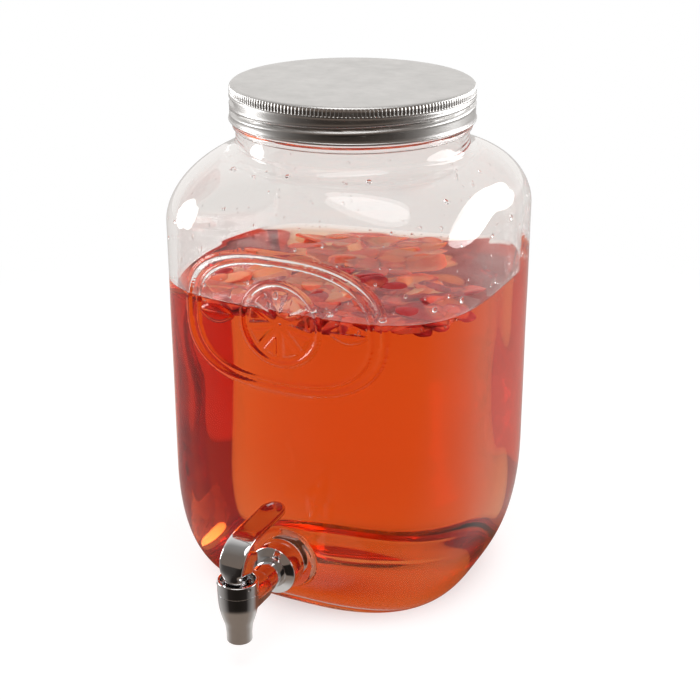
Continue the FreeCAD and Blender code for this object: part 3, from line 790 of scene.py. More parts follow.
@dataclass
class Ornament:
    """The raised pattern on the jar's front: a citrus slice and two leaves in an oval of lines."""

    centre_height: float = 197.0
    half_width: float = 64.0
    half_height: float = 41.0
    line: float = 1.7
    raise_by: float = 1.25
    oval_power: float = 2.6
    second_oval: float = 0.885
    slice_radius: float = 25.0
    segments: int = 9
    rind: float = 4.0
    pith: float = 1.3
    core: float = 3.0
    leaf_place: float = 43.5
    leaf_half: Pair = (13.0, 6.4)

    def height(self, x: np.ndarray, z: np.ndarray) -> np.ndarray:
        """How far the pattern stands out at each point of the front.

        Args:
            x: places across the front.
            z: heights above the foot.

        Returns:
            The heights of the pattern.
        """
        up = z - self.centre_height
        power = self.oval_power
        oval = np.abs(x / self.half_width) ** power + np.abs(up / self.half_height) ** power
        oval = oval ** (1 / power)
        reach = np.hypot(x, up) / np.maximum(oval, 1e-6)
        result = self._bead((oval - 1) * reach, self.line)
        result = np.maximum(result, 0.7 * self._bead((oval - self.second_oval) * reach, self.line * 0.6))
        away = np.hypot(x, up)
        result = np.maximum(result, self._bead(away - self.slice_radius, self.line * 0.85))
        wedge = 2 * math.pi / self.segments
        turn = (np.arctan2(up, x) + math.pi / 2) % wedge - wedge / 2
        side = away * np.sin(wedge / 2 - np.abs(turn))
        inside = np.minimum(self.slice_radius - self.rind - away, away - self.core)
        inside = np.minimum(side - self.pith, inside)
        result = np.maximum(result, 0.85 * self.raise_by * smoothstep(0.0, 2.2, inside))
        for hand in (-1, 1):
            result = np.maximum(result, self._leaf(hand * x - self.leaf_place, up))
        return result

    def _bead(self, away: np.ndarray, half: float) -> np.ndarray:
        """A round-topped line."""
        return self.raise_by * np.sqrt(np.clip(1 - (away / (half * 1.25)) ** 2, 0, None))

    def _leaf(self, x: np.ndarray, up: np.ndarray) -> np.ndarray:
        """A pointed leaf with a grooved midrib, lying along x."""
        half_length, half_width = self.leaf_half
        body = half_width * (1 - (x / half_length) ** 2) - np.abs(up)
        rib = 1 - 0.75 * np.exp(-((up / 0.9) ** 2))
        inside = np.where(np.abs(x) < half_length, body, -1.0)
        return 0.85 * self.raise_by * smoothstep(0.0, 2.4, inside) * rib


@dataclass
class Jar:
    """The glass jar."""

    form: JarForm
    ornament: Ornament
    columns: int = 200
    cuts: int = 4
    rim: float = 319.0
    bead_height: float = 295.4
    bead_radius: float = 1.9
    push_up_radius: float = 52.0
    push_up: float = 4.0
    thread: Thread = field(default_factory=lambda: Thread(307.8))
    thread_height: float = 2.3
    threaded: Pair = (299.0, 318.0)
    hole_radius: float = 8.0
    outer_lip: float = 1.5
    inner_lip: float = 1.2
    outer_wave: float = 0.16
    inner_wave: float = 0.3
    wave_starts: Pair = (70.0, 95.0)
    wave_stops: Pair = (268.0, 280.0)
    front: float = -60.0
    front_band: Pair = (150.0, 241.0)
    pattern_turn: float = 39.0
    pattern_band: Pair = (153.0, 239.0)
    pad_turn: float = 14.5
    pad_band: Pair = (16.0, 68.0)
    foot_rows: int = 10

    def outer_rows(self) -> list[Row]:
        """The outer face's sections, from the middle of the push-up to the rim."""
        form = self.form
        rows: list[Row] = []
        for share in (0.04, 0.16, 0.3, 0.44, 0.58, 0.72, 0.86):
            swell = self.push_up * (0.5 + 0.5 * math.cos(math.pi * share))
            rows.append((swell, self.push_up_radius * share, 2.0))
        rows += [(0.0, self.push_up_radius, 2.0), (0.0, 62.0, 2.2), (0.0, 70.0, 2.38)]
        rows += form.base_rows(Side.OUTER, 0.0, 3.0)
        body = form.body_width / 2
        for height in np.arange(form.base_rise + 4.5, 150, 4.5):
            rows.append((float(height), body, form.squareness))
        for height in np.arange(151.0, form.shoulder_low - 1, 2.0):
            rows.append((float(height), body, form.squareness))
        rows += form.shoulder_rows(Side.OUTER, 0.0, 2.5)
        for turn in np.radians(np.arange(-90, 91, 15)):
            rows.append((
                self.bead_height + self.bead_radius * math.sin(turn),
                form.neck_radius + self.bead_radius * math.cos(turn) * (abs(turn) < 1.57), 2.0,
            ))
        for height in np.arange(298.5, self.rim - 1.6, 0.7):
            rows.append((float(height), form.neck_radius, 2.0))
        for turn in np.radians((0, 30, 60, 90)):
            up, out = self.outer_lip * math.sin(turn), self.outer_lip * math.cos(turn)
            rows.append((self.rim - self.outer_lip + up, form.neck_radius - self.outer_lip + out, 2.0))
        return rows

    def inner_rows(self) -> list[Row]:
        """The inner face's sections, from the rim down to the middle of the floor."""
        form = self.form
        mouth = form.neck_radius - form.wall
        rows: list[Row] = []
        for turn in np.radians((90, 45, 0)):
            up, out = self.inner_lip * math.sin(turn), self.inner_lip * math.cos(turn)
            rows.append((self.rim - self.inner_lip + up, mouth + self.inner_lip - out, 2.0))
        for height in (310.0, 302.0, 294.0):
            rows.append((height, mouth, 2.0))
        rows += form.shoulder_rows(Side.INNER, form.wall, 4.0)[::-1]
        body = form.body_width / 2 - form.wall
        heights = [float(h) for h in np.arange(form.shoulder_low - 8, form.base_rise + 4, -8.0)]
        for height in sorted([*heights, form.wet_top], reverse=True):
            rows.append((height, body, form.squareness))
        rows += form.base_rows(Side.INNER, form.wall, 4.5)[::-1]
        for share in (0.85, 0.6, 0.35, 0.05):
            rows.append((form.floor, (form.foot_width / 2 - form.wall) * share, 2 + 0.44 * share))
        return rows

    def thread_rise(self, angle: np.ndarray, height: np.ndarray) -> np.ndarray:
        """How far the two thread ridges stand out of the neck."""
        rise = np.zeros_like(height)
        for middle, ends in self.thread.starts(angle, 8):
            flank = 1 - smoothstep(0.55, 1.45, np.abs(height - middle))
            rise = np.maximum(rise, self.thread_height * flank * ends)
        return rise

    @staticmethod
    def waviness(points: np.ndarray, depth: float) -> np.ndarray:
        """The slow swell of pressed glass at each point."""
        x, y, z = points.T
        swell = np.sin(x / 13 + z / 29) + np.sin(y / 15 - z / 23 + 1.3)
        swell = swell + 0.8 * np.sin(z / 11 + x / 37 + 0.6)
        return depth * swell / 2.8

    def build(self) -> bpy.types.Object:
        """Makes the jar.

        Returns:
            The jar's mesh object.
        """
        form = self.form
        outer, inner = self.outer_rows(), self.inner_rows()
        table = np.array(outer + inner)
        turn_of = 2 * math.pi / self.columns
        tops = table[:, 0]

        def fine(column: int, row: int) -> bool:
            """Whether a cell is on the pattern or the tap's flat."""
            if row >= len(outer) - 1:
                return False
            angle = math.degrees((column + 0.5) * turn_of)
            off_front = abs((angle - 270 + 180) % 360 - 180)
            low, high = self.pattern_band
            pattern = off_front < self.pattern_turn and low < tops[row] < high
            low, high = self.pad_band
            pad = off_front < self.pad_turn and low < tops[row] < high
            return pattern or (pad and row > self.foot_rows)

        spots, faces = refined_grid(len(table), self.columns, fine, self.cuts)
        angle = spots[:, 0] * turn_of
        rows = rows_between(table, spots[:, 1])
        outside = spots[:, 1] <= len(outer) - 1
        points = form.place(angle, rows)
        out = form.outward(angle, rows[:, 1], rows[:, 2])
        high = rows[:, 0]
        body = smoothstep(*self.wave_starts, high) * (1 - smoothstep(*self.wave_stops, high))
        rise = self.waviness(points, self.outer_wave) * body
        front = outside & (points[:, 1] < self.front)
        front &= (high > self.front_band[0]) & (high < self.front_band[1])
        rise += np.where(front, self.ornament.height(points[:, 0], high), 0)
        rise = np.where(outside, rise, -self.waviness(points * 1.13, self.inner_wave) * body)
        threaded = outside & (high > self.threaded[0]) & (high < self.threaded[1])
        rise += np.where(threaded, self.thread_rise(angle, high), 0)
        points = points + out * rise[:, None]
        outer_points = form.press_pad(points, form.pad_face, form.pad_radius)
        inner_points = form.press_pad(points, form.inner_pad_face, form.inner_pad_radius)
        points = np.where(outside[:, None], outer_points, inner_points)
        faces += [end_face(spots, 0), end_face(spots, len(table) - 1)]
        jar = mesh_piece("jar_glass", points, faces)
        hole = rod(self.hole_radius, form.pad_face - 2, form.inner_pad_face + 2)
        tool = lathe("hole_tool", hole, (0, 0, form.tap_height), level=True, columns=64)
        carve(jar, tool, Carving.CUT)
        return jar


@dataclass(frozen=True)
class Patch:
    """A stretch of the drink as the camera sees it: from left to right, and from front to back."""

    across: Pair = (-FAR, FAR)
    back: Pair = (-FAR, FAR)
    clear: tuple["Patch", ...] = ()

    def holds(self, x: float, y: float) -> bool:
        """Whether a place is in the patch, and in none of the stretches that are kept clear."""
        across = SEEN_ALONG * x + SEEN_ACROSS * y
        back = -SEEN_ACROSS * x + SEEN_ALONG * y
        inside = self.across[0] < across < self.across[1] and self.back[0] < back < self.back[1]
        return inside and not any(patch.holds(x, y) for patch in self.clear)


@dataclass(frozen=True)
class FruitKind:
    """One kind of fruit: how much of it there is, and where it floats."""

    name: str
    finish: FruitFinish
    count: int
    half_length: Pair
    sink: Pair
    seed: int
    patch: Patch
    thickness: Pair = (0.13, 0.25)


@dataclass(frozen=True)
class BeadKind:
    """Drops or bubbles on the jar's inner face."""

    name: str
    finish: ClearFinish
    count: int
    radii: Pair
    heights: Pair
    flat: float
    seed: int


@dataclass
class Contents:
    """The drink, with the fruit that floats in it, its bubbles and the drops above it."""

    form: JarForm
    level: float = 202.0
    overlap: float = 0.6
    climb: float = 2.0
    reach: float = 6.0
    under: float = 0.1
    columns: int = 160
    spread: Pair = (88.0, 86.0)
    narrow: Pair = (0.6, 0.85)
    tilt: float = 0.35

    def _top(self, sink: float, edge: float) -> list[Row]:
        """The sections of the top of the drink, from where it climbs the glass to its middle.

        Args:
            sink: how far they lie below the surface.
            edge: how far their outer edge stands in from the drink's side.

        Returns:
            The sections; the first five are the climb.
        """
        body = self.form.body_width / 2 - self.form.wall + self.overlap
        rows: list[Row] = [(self.level + self.climb - sink, body - edge, self.form.squareness)]
        for share in (0.1, 0.3, 0.6, 1.0):
            height = self.level + self.climb * (1 - share) ** 2.4 - sink
            rows.append((height, body - self.overlap - self.reach * share, self.form.squareness))
        for share in np.linspace(0.9, 0.02, 22):
            rows.append((self.level - sink, (body - self.reach) * float(share), 2 + 1.6 * float(share)))
        return rows

    def _spun(self, rows: list[Row], flat_from: int) -> tuple[np.ndarray, np.ndarray, list[Face]]:
        """Turns sections into points, with a slow swell from one row on.

        Args:
            rows: the sections.
            flat_from: the first row of the flat surface.

        Returns:
            The points, the column and row of each, and the faces between them.
        """
        table = np.array(rows)
        spots, faces = refined_grid(len(table), self.columns, lambda c, r: False, 1)
        row = spots[:, 1].astype(int)
        points = self.form.place(spots[:, 0] * 2 * math.pi / self.columns, table[row])
        x, y = points[:, 0], points[:, 1]
        swell = 0.35 * np.sin(x / 6 + 1.7 * np.sin(y / 17)) + 0.3 * np.sin(y / 5 + 1.3 * np.sin(x / 13))
        points[:, 2] += np.where(row >= flat_from, swell * 0.6, 0)
        return points, spots, faces

    def drink(self) -> bpy.types.Object:
        """Makes the drink, which reaches a little way into the glass so that no air shows between them.

        Returns:
            The drink's mesh object.
        """
        form = self.form
        inset = form.wall - self.overlap
        rows: list[Row] = []
        foot = form.foot_width / 2 - inset
        for share in (0.05, 0.35, 0.6, 0.85):
            rows.append((form.floor - self.overlap, foot * share, 2 + 0.44 * share))
        rows += form.base_rows(Side.INNER, inset, 3.0)
        for height in np.arange(form.base_rise + 6, self.level - 4, 6.0):
            rows.append((float(height), form.body_width / 2 - inset, form.squareness))
        flat_from = len(rows) + 4
        rows += self._top(self.under, 0.0)
        points, spots, faces = self._spun(rows, flat_from)
        pressed = form.press_pad(points, form.inner_pad_face - self.overlap, form.inner_pad_radius)
        points = np.where(spots[:, 1:] >= flat_from, points, pressed)
        faces += [end_face(spots, 0), end_face(spots, len(rows) - 1)]
        return mesh_piece("drink", points, faces)

    def surface(self) -> bpy.types.Object:
        """Makes the skin on top of the drink, which bends and mirrors the light there.

        Returns:
            The skin's mesh object, facing up.
        """
        rows = self._top(0.0, self.overlap / 2)
        points, spots, faces = self._spun(rows, 4)
        faces.append(end_face(spots, len(rows) - 1))
        piece = mesh_piece("drink_surface", points, faces)
        if piece.data.polygons[-1].normal.z < 0:
            piece.data.flip_normals()
        return piece

    def fruit(self, kind: FruitKind) -> bpy.types.Object:
        """Makes the floating pieces of one kind of cut fruit, as one mesh object."""
        draw = random.Random(kind.seed)
        form = self.form
        inside = form.body_width / 2 - form.wall - 1.5
        unit, cells = unit_ball(3)
        chunks: list[np.ndarray] = []
        cuts: list[np.ndarray] = []
        while len(chunks) < kind.count:
            x, y = (draw.uniform(-reach, reach) for reach in self.spread)
            half = draw.uniform(*kind.half_length)
            angle = np.array([math.atan2(y, x)])
            reach = form.ring(angle, np.array([inside - half]), np.array([form.squareness]))[0]
            if math.hypot(x, y) > reach or not kind.patch.holds(x, y):
                continue
            chunk, cut = self._chunk(unit, draw)
            narrow, thin = draw.uniform(*self.narrow), draw.uniform(*kind.thickness)
            chunk = chunk * np.array([half, half * narrow, half * thin])
            turn = draw.uniform(0, 2 * math.pi)
            tip, roll = (draw.uniform(-self.tilt, self.tilt) for _ in range(2))
            chunk = self._turned(chunk, turn, tip, roll)
            chunks.append(chunk + np.array([x, y, self.level - draw.uniform(*kind.sink)]))
            cuts.append(cut)
        piece = gathered(kind.name, chunks, cells)
        flag = piece.data.attributes.new("cut", "FLOAT", "POINT")
        flag.data.foreach_set("value", np.concatenate(cuts).astype(np.float32))
        return piece

    @staticmethod
    def _chunk(unit: np.ndarray, draw: random.Random) -> tuple[np.ndarray, np.ndarray]:
        """One uneven lump with a few flat cuts, and where it is cut."""
        a, b, c = (draw.uniform(0, 6.28) for _ in range(3))
        x, y, z = unit.T
        lump = 1 + 0.09 * np.sin(3.1 * x + a) + 0.09 * np.sin(3.7 * y + b) + 0.06 * np.sin(5.3 * z + c)
        shape = unit * lump[:, None]
        cut = np.zeros(len(unit))
        for _ in range(4):
            axis = np.array([draw.gauss(0, 1), draw.gauss(0, 1), draw.gauss(0, 1.2)])
            axis /= np.linalg.norm(axis)
            keep = draw.uniform(0.35, 0.75)
            over = shape @ axis - keep
            shape = np.where(over[:, None] > 0, shape - over[:, None] * axis * 0.93, shape)
            cut = np.maximum(cut, smoothstep(0.0, 0.12, over))
        return shape, cut

    @staticmethod
    def _turned(points: np.ndarray, turn: float, tip: float, roll: float) -> np.ndarray:
        """The points turned about Z, X and Y."""
        for angle, (i, j) in ((roll, (0, 2)), (tip, (1, 2)), (turn, (0, 1))):
            moved = points.copy()
            moved[:, i] = points[:, i] * math.cos(angle) - points[:, j] * math.sin(angle)
            moved[:, j] = points[:, i] * math.sin(angle) + points[:, j] * math.cos(angle)
            points = moved
        return points

    def beads(self, kind: BeadKind) -> bpy.types.Object:
        """Makes drops or bubbles that cling to the jar's inner face, as one mesh object."""
        draw = random.Random(kind.seed)
        unit, cells = unit_ball(2)
        low, high = kind.heights
        least, most = kind.radii
        beads: list[np.ndarray] = []
        for _ in range(kind.count):
            share = draw.random() ** 1.8
            radius = least + (most - least) * draw.random() ** 3
            spot, inward = self.form.inner_spot(draw.uniform(0, 2 * math.pi), low + (high - low) * share)
            side = np.cross(inward, (0, 0, 1.0))
            side /= np.linalg.norm(side)
            rise = np.cross(side, inward) * draw.uniform(1.0, 1.5)
            axes = np.stack([side, rise, inward * kind.flat]) * radius
            beads.append(unit @ axes + spot)
        return gathered(kind.name, beads, cells)


@dataclass
class Lid:
    """The pressed metal screw lid, with a knurled edge, a rolled thread and a curled hem."""

    radius: float = 75.0
    sheet: float = 0.6
    top: float = 321.0
    low: float = 299.0
    edge: float = 3.0
    curl: float = 0.75
    knurls: int = 200
    knurl_depth: float = 0.5
    knurl_low: float = 315.4
    knurl_high: float = 320.1
    knurl_cuts: int = 6
    lip_drop: float = 0.75
    lip_half: float = 0.45
    lip_depth: float = 0.2
    top_rows: int = 5
    thread: Thread = field(default_factory=lambda: Thread(305.1))
    thread_depth: float = 1.45
    thread_shoulder: float = 0.22
    shoulder_off: float = 2.3
    shoulder_half: float = 0.6

    def rows(self) -> list[Row]:
        """(radius, height, 1 on the outer face or 0 on the inner), from the middle of the top round."""
        rows: list[Row] = []
        for radius in (1.5, 20.0, 40.0, 56.0, 66.0, 70.5):
            rows.append((radius, self.top, 1.0))
        bend, crown = self.radius - self.edge, self.top - self.edge
        for turn in np.radians(np.arange(90, -1, -9)):
            rows.append((bend + self.edge * math.cos(turn), crown + self.edge * math.sin(turn), 1.0))
        for height in np.arange(crown - 0.5, self.low + 2.0, -0.5):
            rows.append((self.radius, float(height), 1.0))
        hem = self.low + self.curl
        middle = self.radius - self.sheet + self.curl - self.sheet / 4
        for turn in np.radians(np.arange(75, -211, -25)):
            rows.append((middle + self.curl * math.cos(turn), hem + self.curl * math.sin(turn), 1.0))
        inner = self.radius - self.sheet
        for height in np.arange(self.low + 2.2, crown - 0.6, 0.7):
            rows.append((inner, float(height), 0.0))
        reach = self.edge - self.sheet
        for turn in np.radians(np.arange(0, 91, 22.5)):
            rows.append((inner - reach + reach * math.cos(turn), crown + reach * math.sin(turn), 0.0))
        for radius in (60.0, 30.0, 1.5):
            rows.append((radius, self.top - self.sheet, 0.0))
        return rows

    def thread_sink(self, angle: np.ndarray, height: np.ndarray) -> np.ndarray:
        """How far the rolled thread draws the skirt in, with its shoulders standing a little proud."""
        sink = np.zeros_like(height)
        for middle, ends in self.thread.starts(angle, 12):
            off = height - middle
            groove = self.thread_depth * np.exp(-(off ** 2))
            above = (off - self.shoulder_off) / self.shoulder_half
            below = (off + self.shoulder_off) / self.shoulder_half
            proud = np.exp(-(above ** 2)) + np.exp(-(below ** 2))
            sink += (groove - self.thread_shoulder * proud) * ends
        return sink

    def build(self) -> bpy.types.Object:
        """Makes the lid.

        Returns:
            The lid's mesh object.
        """
        table = np.array(self.rows())
        high = table[:, 1]
        outer_count = int(table[:, 2].sum())

        def fine(_column: int, row: int) -> bool:
            """Whether a cell is on the knurled band."""
            knurled = self.knurl_low - 0.6 < high[row] < self.knurl_high + 0.3
            return knurled and self.top_rows < row < outer_count - 1

        spots, faces = refined_grid(len(table), self.knurls, fine, self.knurl_cuts)
        angle = spots[:, 0] * 2 * math.pi / self.knurls
        rows = rows_between(table, spots[:, 1])
        radius, height = rows[:, 0].copy(), rows[:, 1]
        outside = spots[:, 1] <= outer_count - 1
        band = smoothstep(self.knurl_low - 0.3, self.knurl_low + 0.3, height)
        band = band * (1 - smoothstep(self.knurl_high - 0.8, self.knurl_high, height)) * outside
        ribs = 0.5 - 0.5 * np.cos(angle * self.knurls)
        radius -= self.knurl_depth * ribs * band
        lip = np.exp(-(((height - self.knurl_low + self.lip_drop) / self.lip_half) ** 2)) * outside
        radius -= self.lip_depth * lip * (radius > self.radius - self.edge / 2)
        skirt = (height > self.low + 1.8) & (height < self.top - 4) & (radius > self.radius - 3)
        radius -= np.where(skirt, self.thread_sink(angle, height), 0)
        points = np.stack([radius * np.cos(angle), radius * np.sin(angle), height], 1)
        faces += [end_face(spots, 0), end_face(spots, len(table) - 1)]
        return mesh_piece("lid_shell", points, faces)


@dataclass
class Tap:
    """The lever tap's outer pieces: flange, spout, bonnet and lever."""

    height: float = 42.0
    bell_y: float = -156.0
    collar_y: float = -132.0
    band_low: float = 50.5
    band_high: float = 58.5
    outlet: float = 18.0
    flange_side: tuple[Point, ...] = (
        (7.6, -102.0, 0.0), (15.4, -102.0, 0.3), (15.4, -114.5, 0.7), (10.5, -117.0, 0.7),
        (7.6, -117.0, 0.0),
    )
    bell_side: tuple[Pair, ...] = (
        (7.6, 23.0), (8.14, 27.95), (8.8, 30.6), (9.805, 33.7), (10.8, 37.6), (11.515, 41.4),
        (11.965, 46.1), (12.1, 50.5),
    )
    bore_side: tuple[Pair, ...] = (
        (0.0, 10.0), (6.0, 10.0), (6.0, 30.0), (4.8, 31.0), (4.8, 32.0), (7.8, 37.0), (7.8, 46.0),
        (9.35, 46.0), (9.35, 55.0), (0.0, 55.0),
    )
    outlet_radius: float = 6.6
    cutter_radius: float = 12.35
    collar_radius: float = 9.75
    socket_radius: float = 7.05
    socket_end: float = -144.55
    passage_radius: float = 3.5
    band_radius: float = 12.15
    cup_radius: float = 10.55
    cup_foot: float = 46.0
    plug_radius: float = 9.3
    stem_hole: float = 1.8
    pin_y: float = -161.5
    pin_height: float = 56.3
    pin_radius: float = 1.13
    lever_top: float = 84.5
    lever_tip: float = -104.5
    lever_base: float = 6.3
    lever_paddle: float = 8.0
    lever_corner: float = 0.36
    strap_thick: float = 4.0
    strap_thinned: float = 0.8
    lever_around: int = 56
    front_radius: float = 8.9
    lever_face: tuple[Pair, ...] = (
        (-164.9, 52.0), (-164.9, 57.0), (-164.9, 62.0), (-164.85, 67.0), (-163.4, 72.6), (-160.0, 77.2),
        (-154.8, 80.6), (-148.0, 82.5), (-140.5, 83.2), (-133.0, 83.3), (-125.5, 83.3), (-118.0, 83.5),
        (-110.5, 84.0), (-104.5, 84.5),
    )
    dish_y: float = -114.6
    dish_half: Pair = (6.6, 9.4)
    dish_depth: float = 1.6
    heel_side: tuple[Pair, ...] = (
        (-162.2, 52.4), (-150.2, 52.4), (-150.2, 60.4), (-147.0, 60.8), (-142.5, 62.4), (-142.0, 64.0),
        (-142.0, 69.5), (-143.2, 71.6), (-150.0, 75.0), (-155.5, 77.5), (-161.0, 72.5), (-162.2, 68.0),
    )
    slot_side: tuple[Pair, ...] = ((-159.6, 40.0), (-149.0, 40.0), (-149.0, 61.5), (-159.6, 61.5))
    slot_half: float = 3.3

    def flange(self) -> bpy.types.Object:
        """Makes the bevelled flange against the jar."""
        return lathe("flange_shell", rounded(self.flange_side), (0, 0, self.height), level=True)

    def spout(self) -> bpy.types.Object:
        """Makes the bell-shaped spout with its level collar."""
        upright, level = (0, self.bell_y, 0), (0, 0, self.height)
        side = np.array(self.bell_side)
        foot, brim = float(side[0, 0]), float(side[-1, 0])
        top = self.band_low + 0.6
        low = self.outlet
        outline = [(0.0, low, 0.0), (self.outlet_radius, low, 0.0), (foot, low, 0.5)]
        for radius, z in rows_between(side, np.linspace(0, len(side) - 1, 41)):
            outline.append((float(radius), float(z), 0.0))
        outline += [(brim, top, 0.0), (0.0, top, 0.0)]
        bell = lathe("spout_shell", rounded(outline), upright)
        collar = rounded([
            (0.0, self.bell_y + 2, 0.0), (self.collar_radius, self.bell_y + 2, 0.0),
            (self.collar_radius, self.collar_y, 0.9), (0.0, self.collar_y, 0.0),
        ])
        carve(bell, lathe("collar_tool", collar, level, level=True), Carving.JOIN)
        above = rod(self.cutter_radius, self.band_low, self.band_high)
        carve(bell, lathe("above_tool", above, upright), Carving.CUT)
        carve(bell, lathe("bore_tool", self.bore_side, upright, columns=96), Carving.CUT)
        mouth = self.collar_y + 3
        socket = [
            (0.0, self.bell_y), (self.passage_radius, self.bell_y),
            (self.passage_radius, self.socket_end), (self.socket_radius, self.socket_end),
            (self.socket_radius, mouth), (0.0, mouth),
        ]
        carve(bell, lathe("socket_tool", socket, level, level=True, columns=72), Carving.CUT)
        return bell

    def bonnet(self) -> bpy.types.Object:
        """Makes the spout's upper band, an open cup with holes for the lever's pin."""
        profile = rounded([
            (self.stem_hole, self.cup_foot, 0.0), (self.plug_radius, self.cup_foot, 0.0),
            (self.plug_radius, self.band_low, 0.0),
            (self.band_radius, self.band_low, 0.6), (self.band_radius, self.band_high, 0.6),
            (self.cup_radius, self.band_high, 0.5), (self.cup_radius, self.band_low, 0.4),
            (self.stem_hole, self.band_low, 0.0),
        ])
        cup = lathe("bonnet_shell", profile, (0, self.bell_y, 0))
        pin_hole = lathe("pin_tool", rod(self.pin_radius, -14, 14), (0, 0, 0), columns=32)
        for vertex in pin_hole.data.vertices:
            x, y, z = vertex.co
            vertex.co = (z, y + self.pin_y * MM, self.pin_height * MM + x)
        shade(pin_hole.data)
        carve(cup, pin_hole, Carving.CUT)
        return cup

    def lever_line(self) -> list[tuple[float, float, float, float, float]]:
        """The strap's path: (front y, front z, back y, back z, half width) from its foot to its tip."""
        face = np.array(self.lever_face)
        closer = len(face) - 1 - 0.93 ** np.arange(0, 60, 5)
        spots = np.concatenate([np.linspace(0, len(face) - 2, 44), closer])
        spots = np.unique(np.clip(spots, 0, len(face) - 1.04))
        front = rows_between(face, spots)
        along = rows_between(face, spots + 0.02) - rows_between(face, np.maximum(spots - 0.02, 0))
        along /= np.linalg.norm(along, axis=1)[:, None]
        round_from = self.lever_tip - self.lever_paddle
        line: list[tuple[float, float, float, float, float]] = []
        for (y, z), (along_y, along_z) in zip(front, along):
            thick = self.strap_thick - self.strap_thinned * float(smoothstep(-160, -150, y))
            wide = self.lever_base + (self.lever_paddle - self.lever_base) * float(smoothstep(58, 75, z))
            past = (y - round_from) / self.lever_paddle
            if past > 0:
                wide = self.lever_paddle * math.sqrt(max(1 - past ** 2, 0.0025))
                thick *= 0.7 + 0.3 * math.sqrt(max(1 - past ** 2, 0.0))
            line.append((y, z, y + along_z * thick, z - along_y * thick, wide))
        return line

    def lever(self) -> bpy.types.Object:
        """Makes the lever: strap, dished paddle and forked heel."""
        around = self.lever_around
        points: list[np.ndarray] = []
        line = self.lever_line()
        for front_y, front_z, back_y, back_z, wide in line:
            middle = np.array([0.0, (front_y + back_y) / 2, (front_z + back_z) / 2])
            thick = np.array([0.0, (front_y - back_y) / 2, (front_z - back_z) / 2])
            for turn in np.linspace(0, 2 * math.pi, around, endpoint=False):
                parts = (math.cos(turn), math.sin(turn))
                across, depth = (math.copysign(abs(part) ** self.lever_corner, part) for part in parts)
                points.append(middle + np.array([wide * across, 0, 0]) + thick * depth)
        place = np.array(points)
        limit = self.bell_y - np.sqrt(np.clip(self.front_radius ** 2 - place[:, 0] ** 2, 0, None))
        in_cup = 1 - smoothstep(60.0, 67.0, place[:, 2])
        place[:, 1] += in_cup * np.clip(limit - place[:, 1], 0, None)
        upper = (place[:, 2] > self.lever_top - 2.4) & (place[:, 1] > -140)
        half_wide, half_long = self.dish_half
        dish = (place[:, 0] / half_wide) ** 2 + ((place[:, 1] - self.dish_y) / half_long) ** 2
        place[:, 2] -= np.where(upper, self.dish_depth * np.clip(1 - dish, 0, 1), 0)
        last = (len(line) - 1) * around
        faces: list[Face] = []
        for low in range(0, last, around):
            high = low + around
            for k in range(around):
                ahead = (k + 1) % around
                faces.append((low + k, low + ahead, high + ahead, high + k))
        faces += [tuple(range(around)), tuple(range(last, last + around))]
        strap = mesh_piece("lever_shell", place, faces)
        heel = self._prism("heel_block", self.heel_side, self.lever_base - 0.15)
        soften(heel, 0.9)
        carve(strap, heel, Carving.JOIN)
        carve(strap, self._prism("slot_tool", self.slot_side, self.slot_half), Carving.CUT)
        return strap

    @staticmethod
    def _prism(name: str, outline: Sequence[Pair], half: float) -> bpy.types.Object:
        """A block with a side outline in (y, z), between x = -half and x = half."""
        count = len(outline)
        points = [(x, y, z) for x in (-half, half) for y, z in outline]
        faces: list[Face] = [tuple(range(count)), tuple(range(2 * count - 1, count - 1, -1))]
        for k in range(count):
            ahead = (k + 1) % count
            faces.append((k, ahead, count + ahead, count + k))
        return mesh_piece(name, np.array(points), faces)


@dataclass(frozen=True)
class SoftBox:
    """One lamp: where it hangs and what it faces, in metres, and its power in watts."""

    name: str
    place: Point
    aim: Point
    size: Pair
    power: float

    def hang(self) -> None:
        """Hangs the lamp."""
        data = bpy.data.lights.new(self.name, "AREA")
        data.shape = "ELLIPSE"
        data.size, data.size_y = self.size
        data.energy = self.power
        lamp = bpy.data.objects.new(self.name, data)
        lamp.location = self.place
        facing = Vector(self.aim) - Vector(self.place)
        lamp.rotation_euler = facing.to_track_quat("-Z", "Y").to_euler()
        bpy.context.scene.collection.objects.link(lamp)


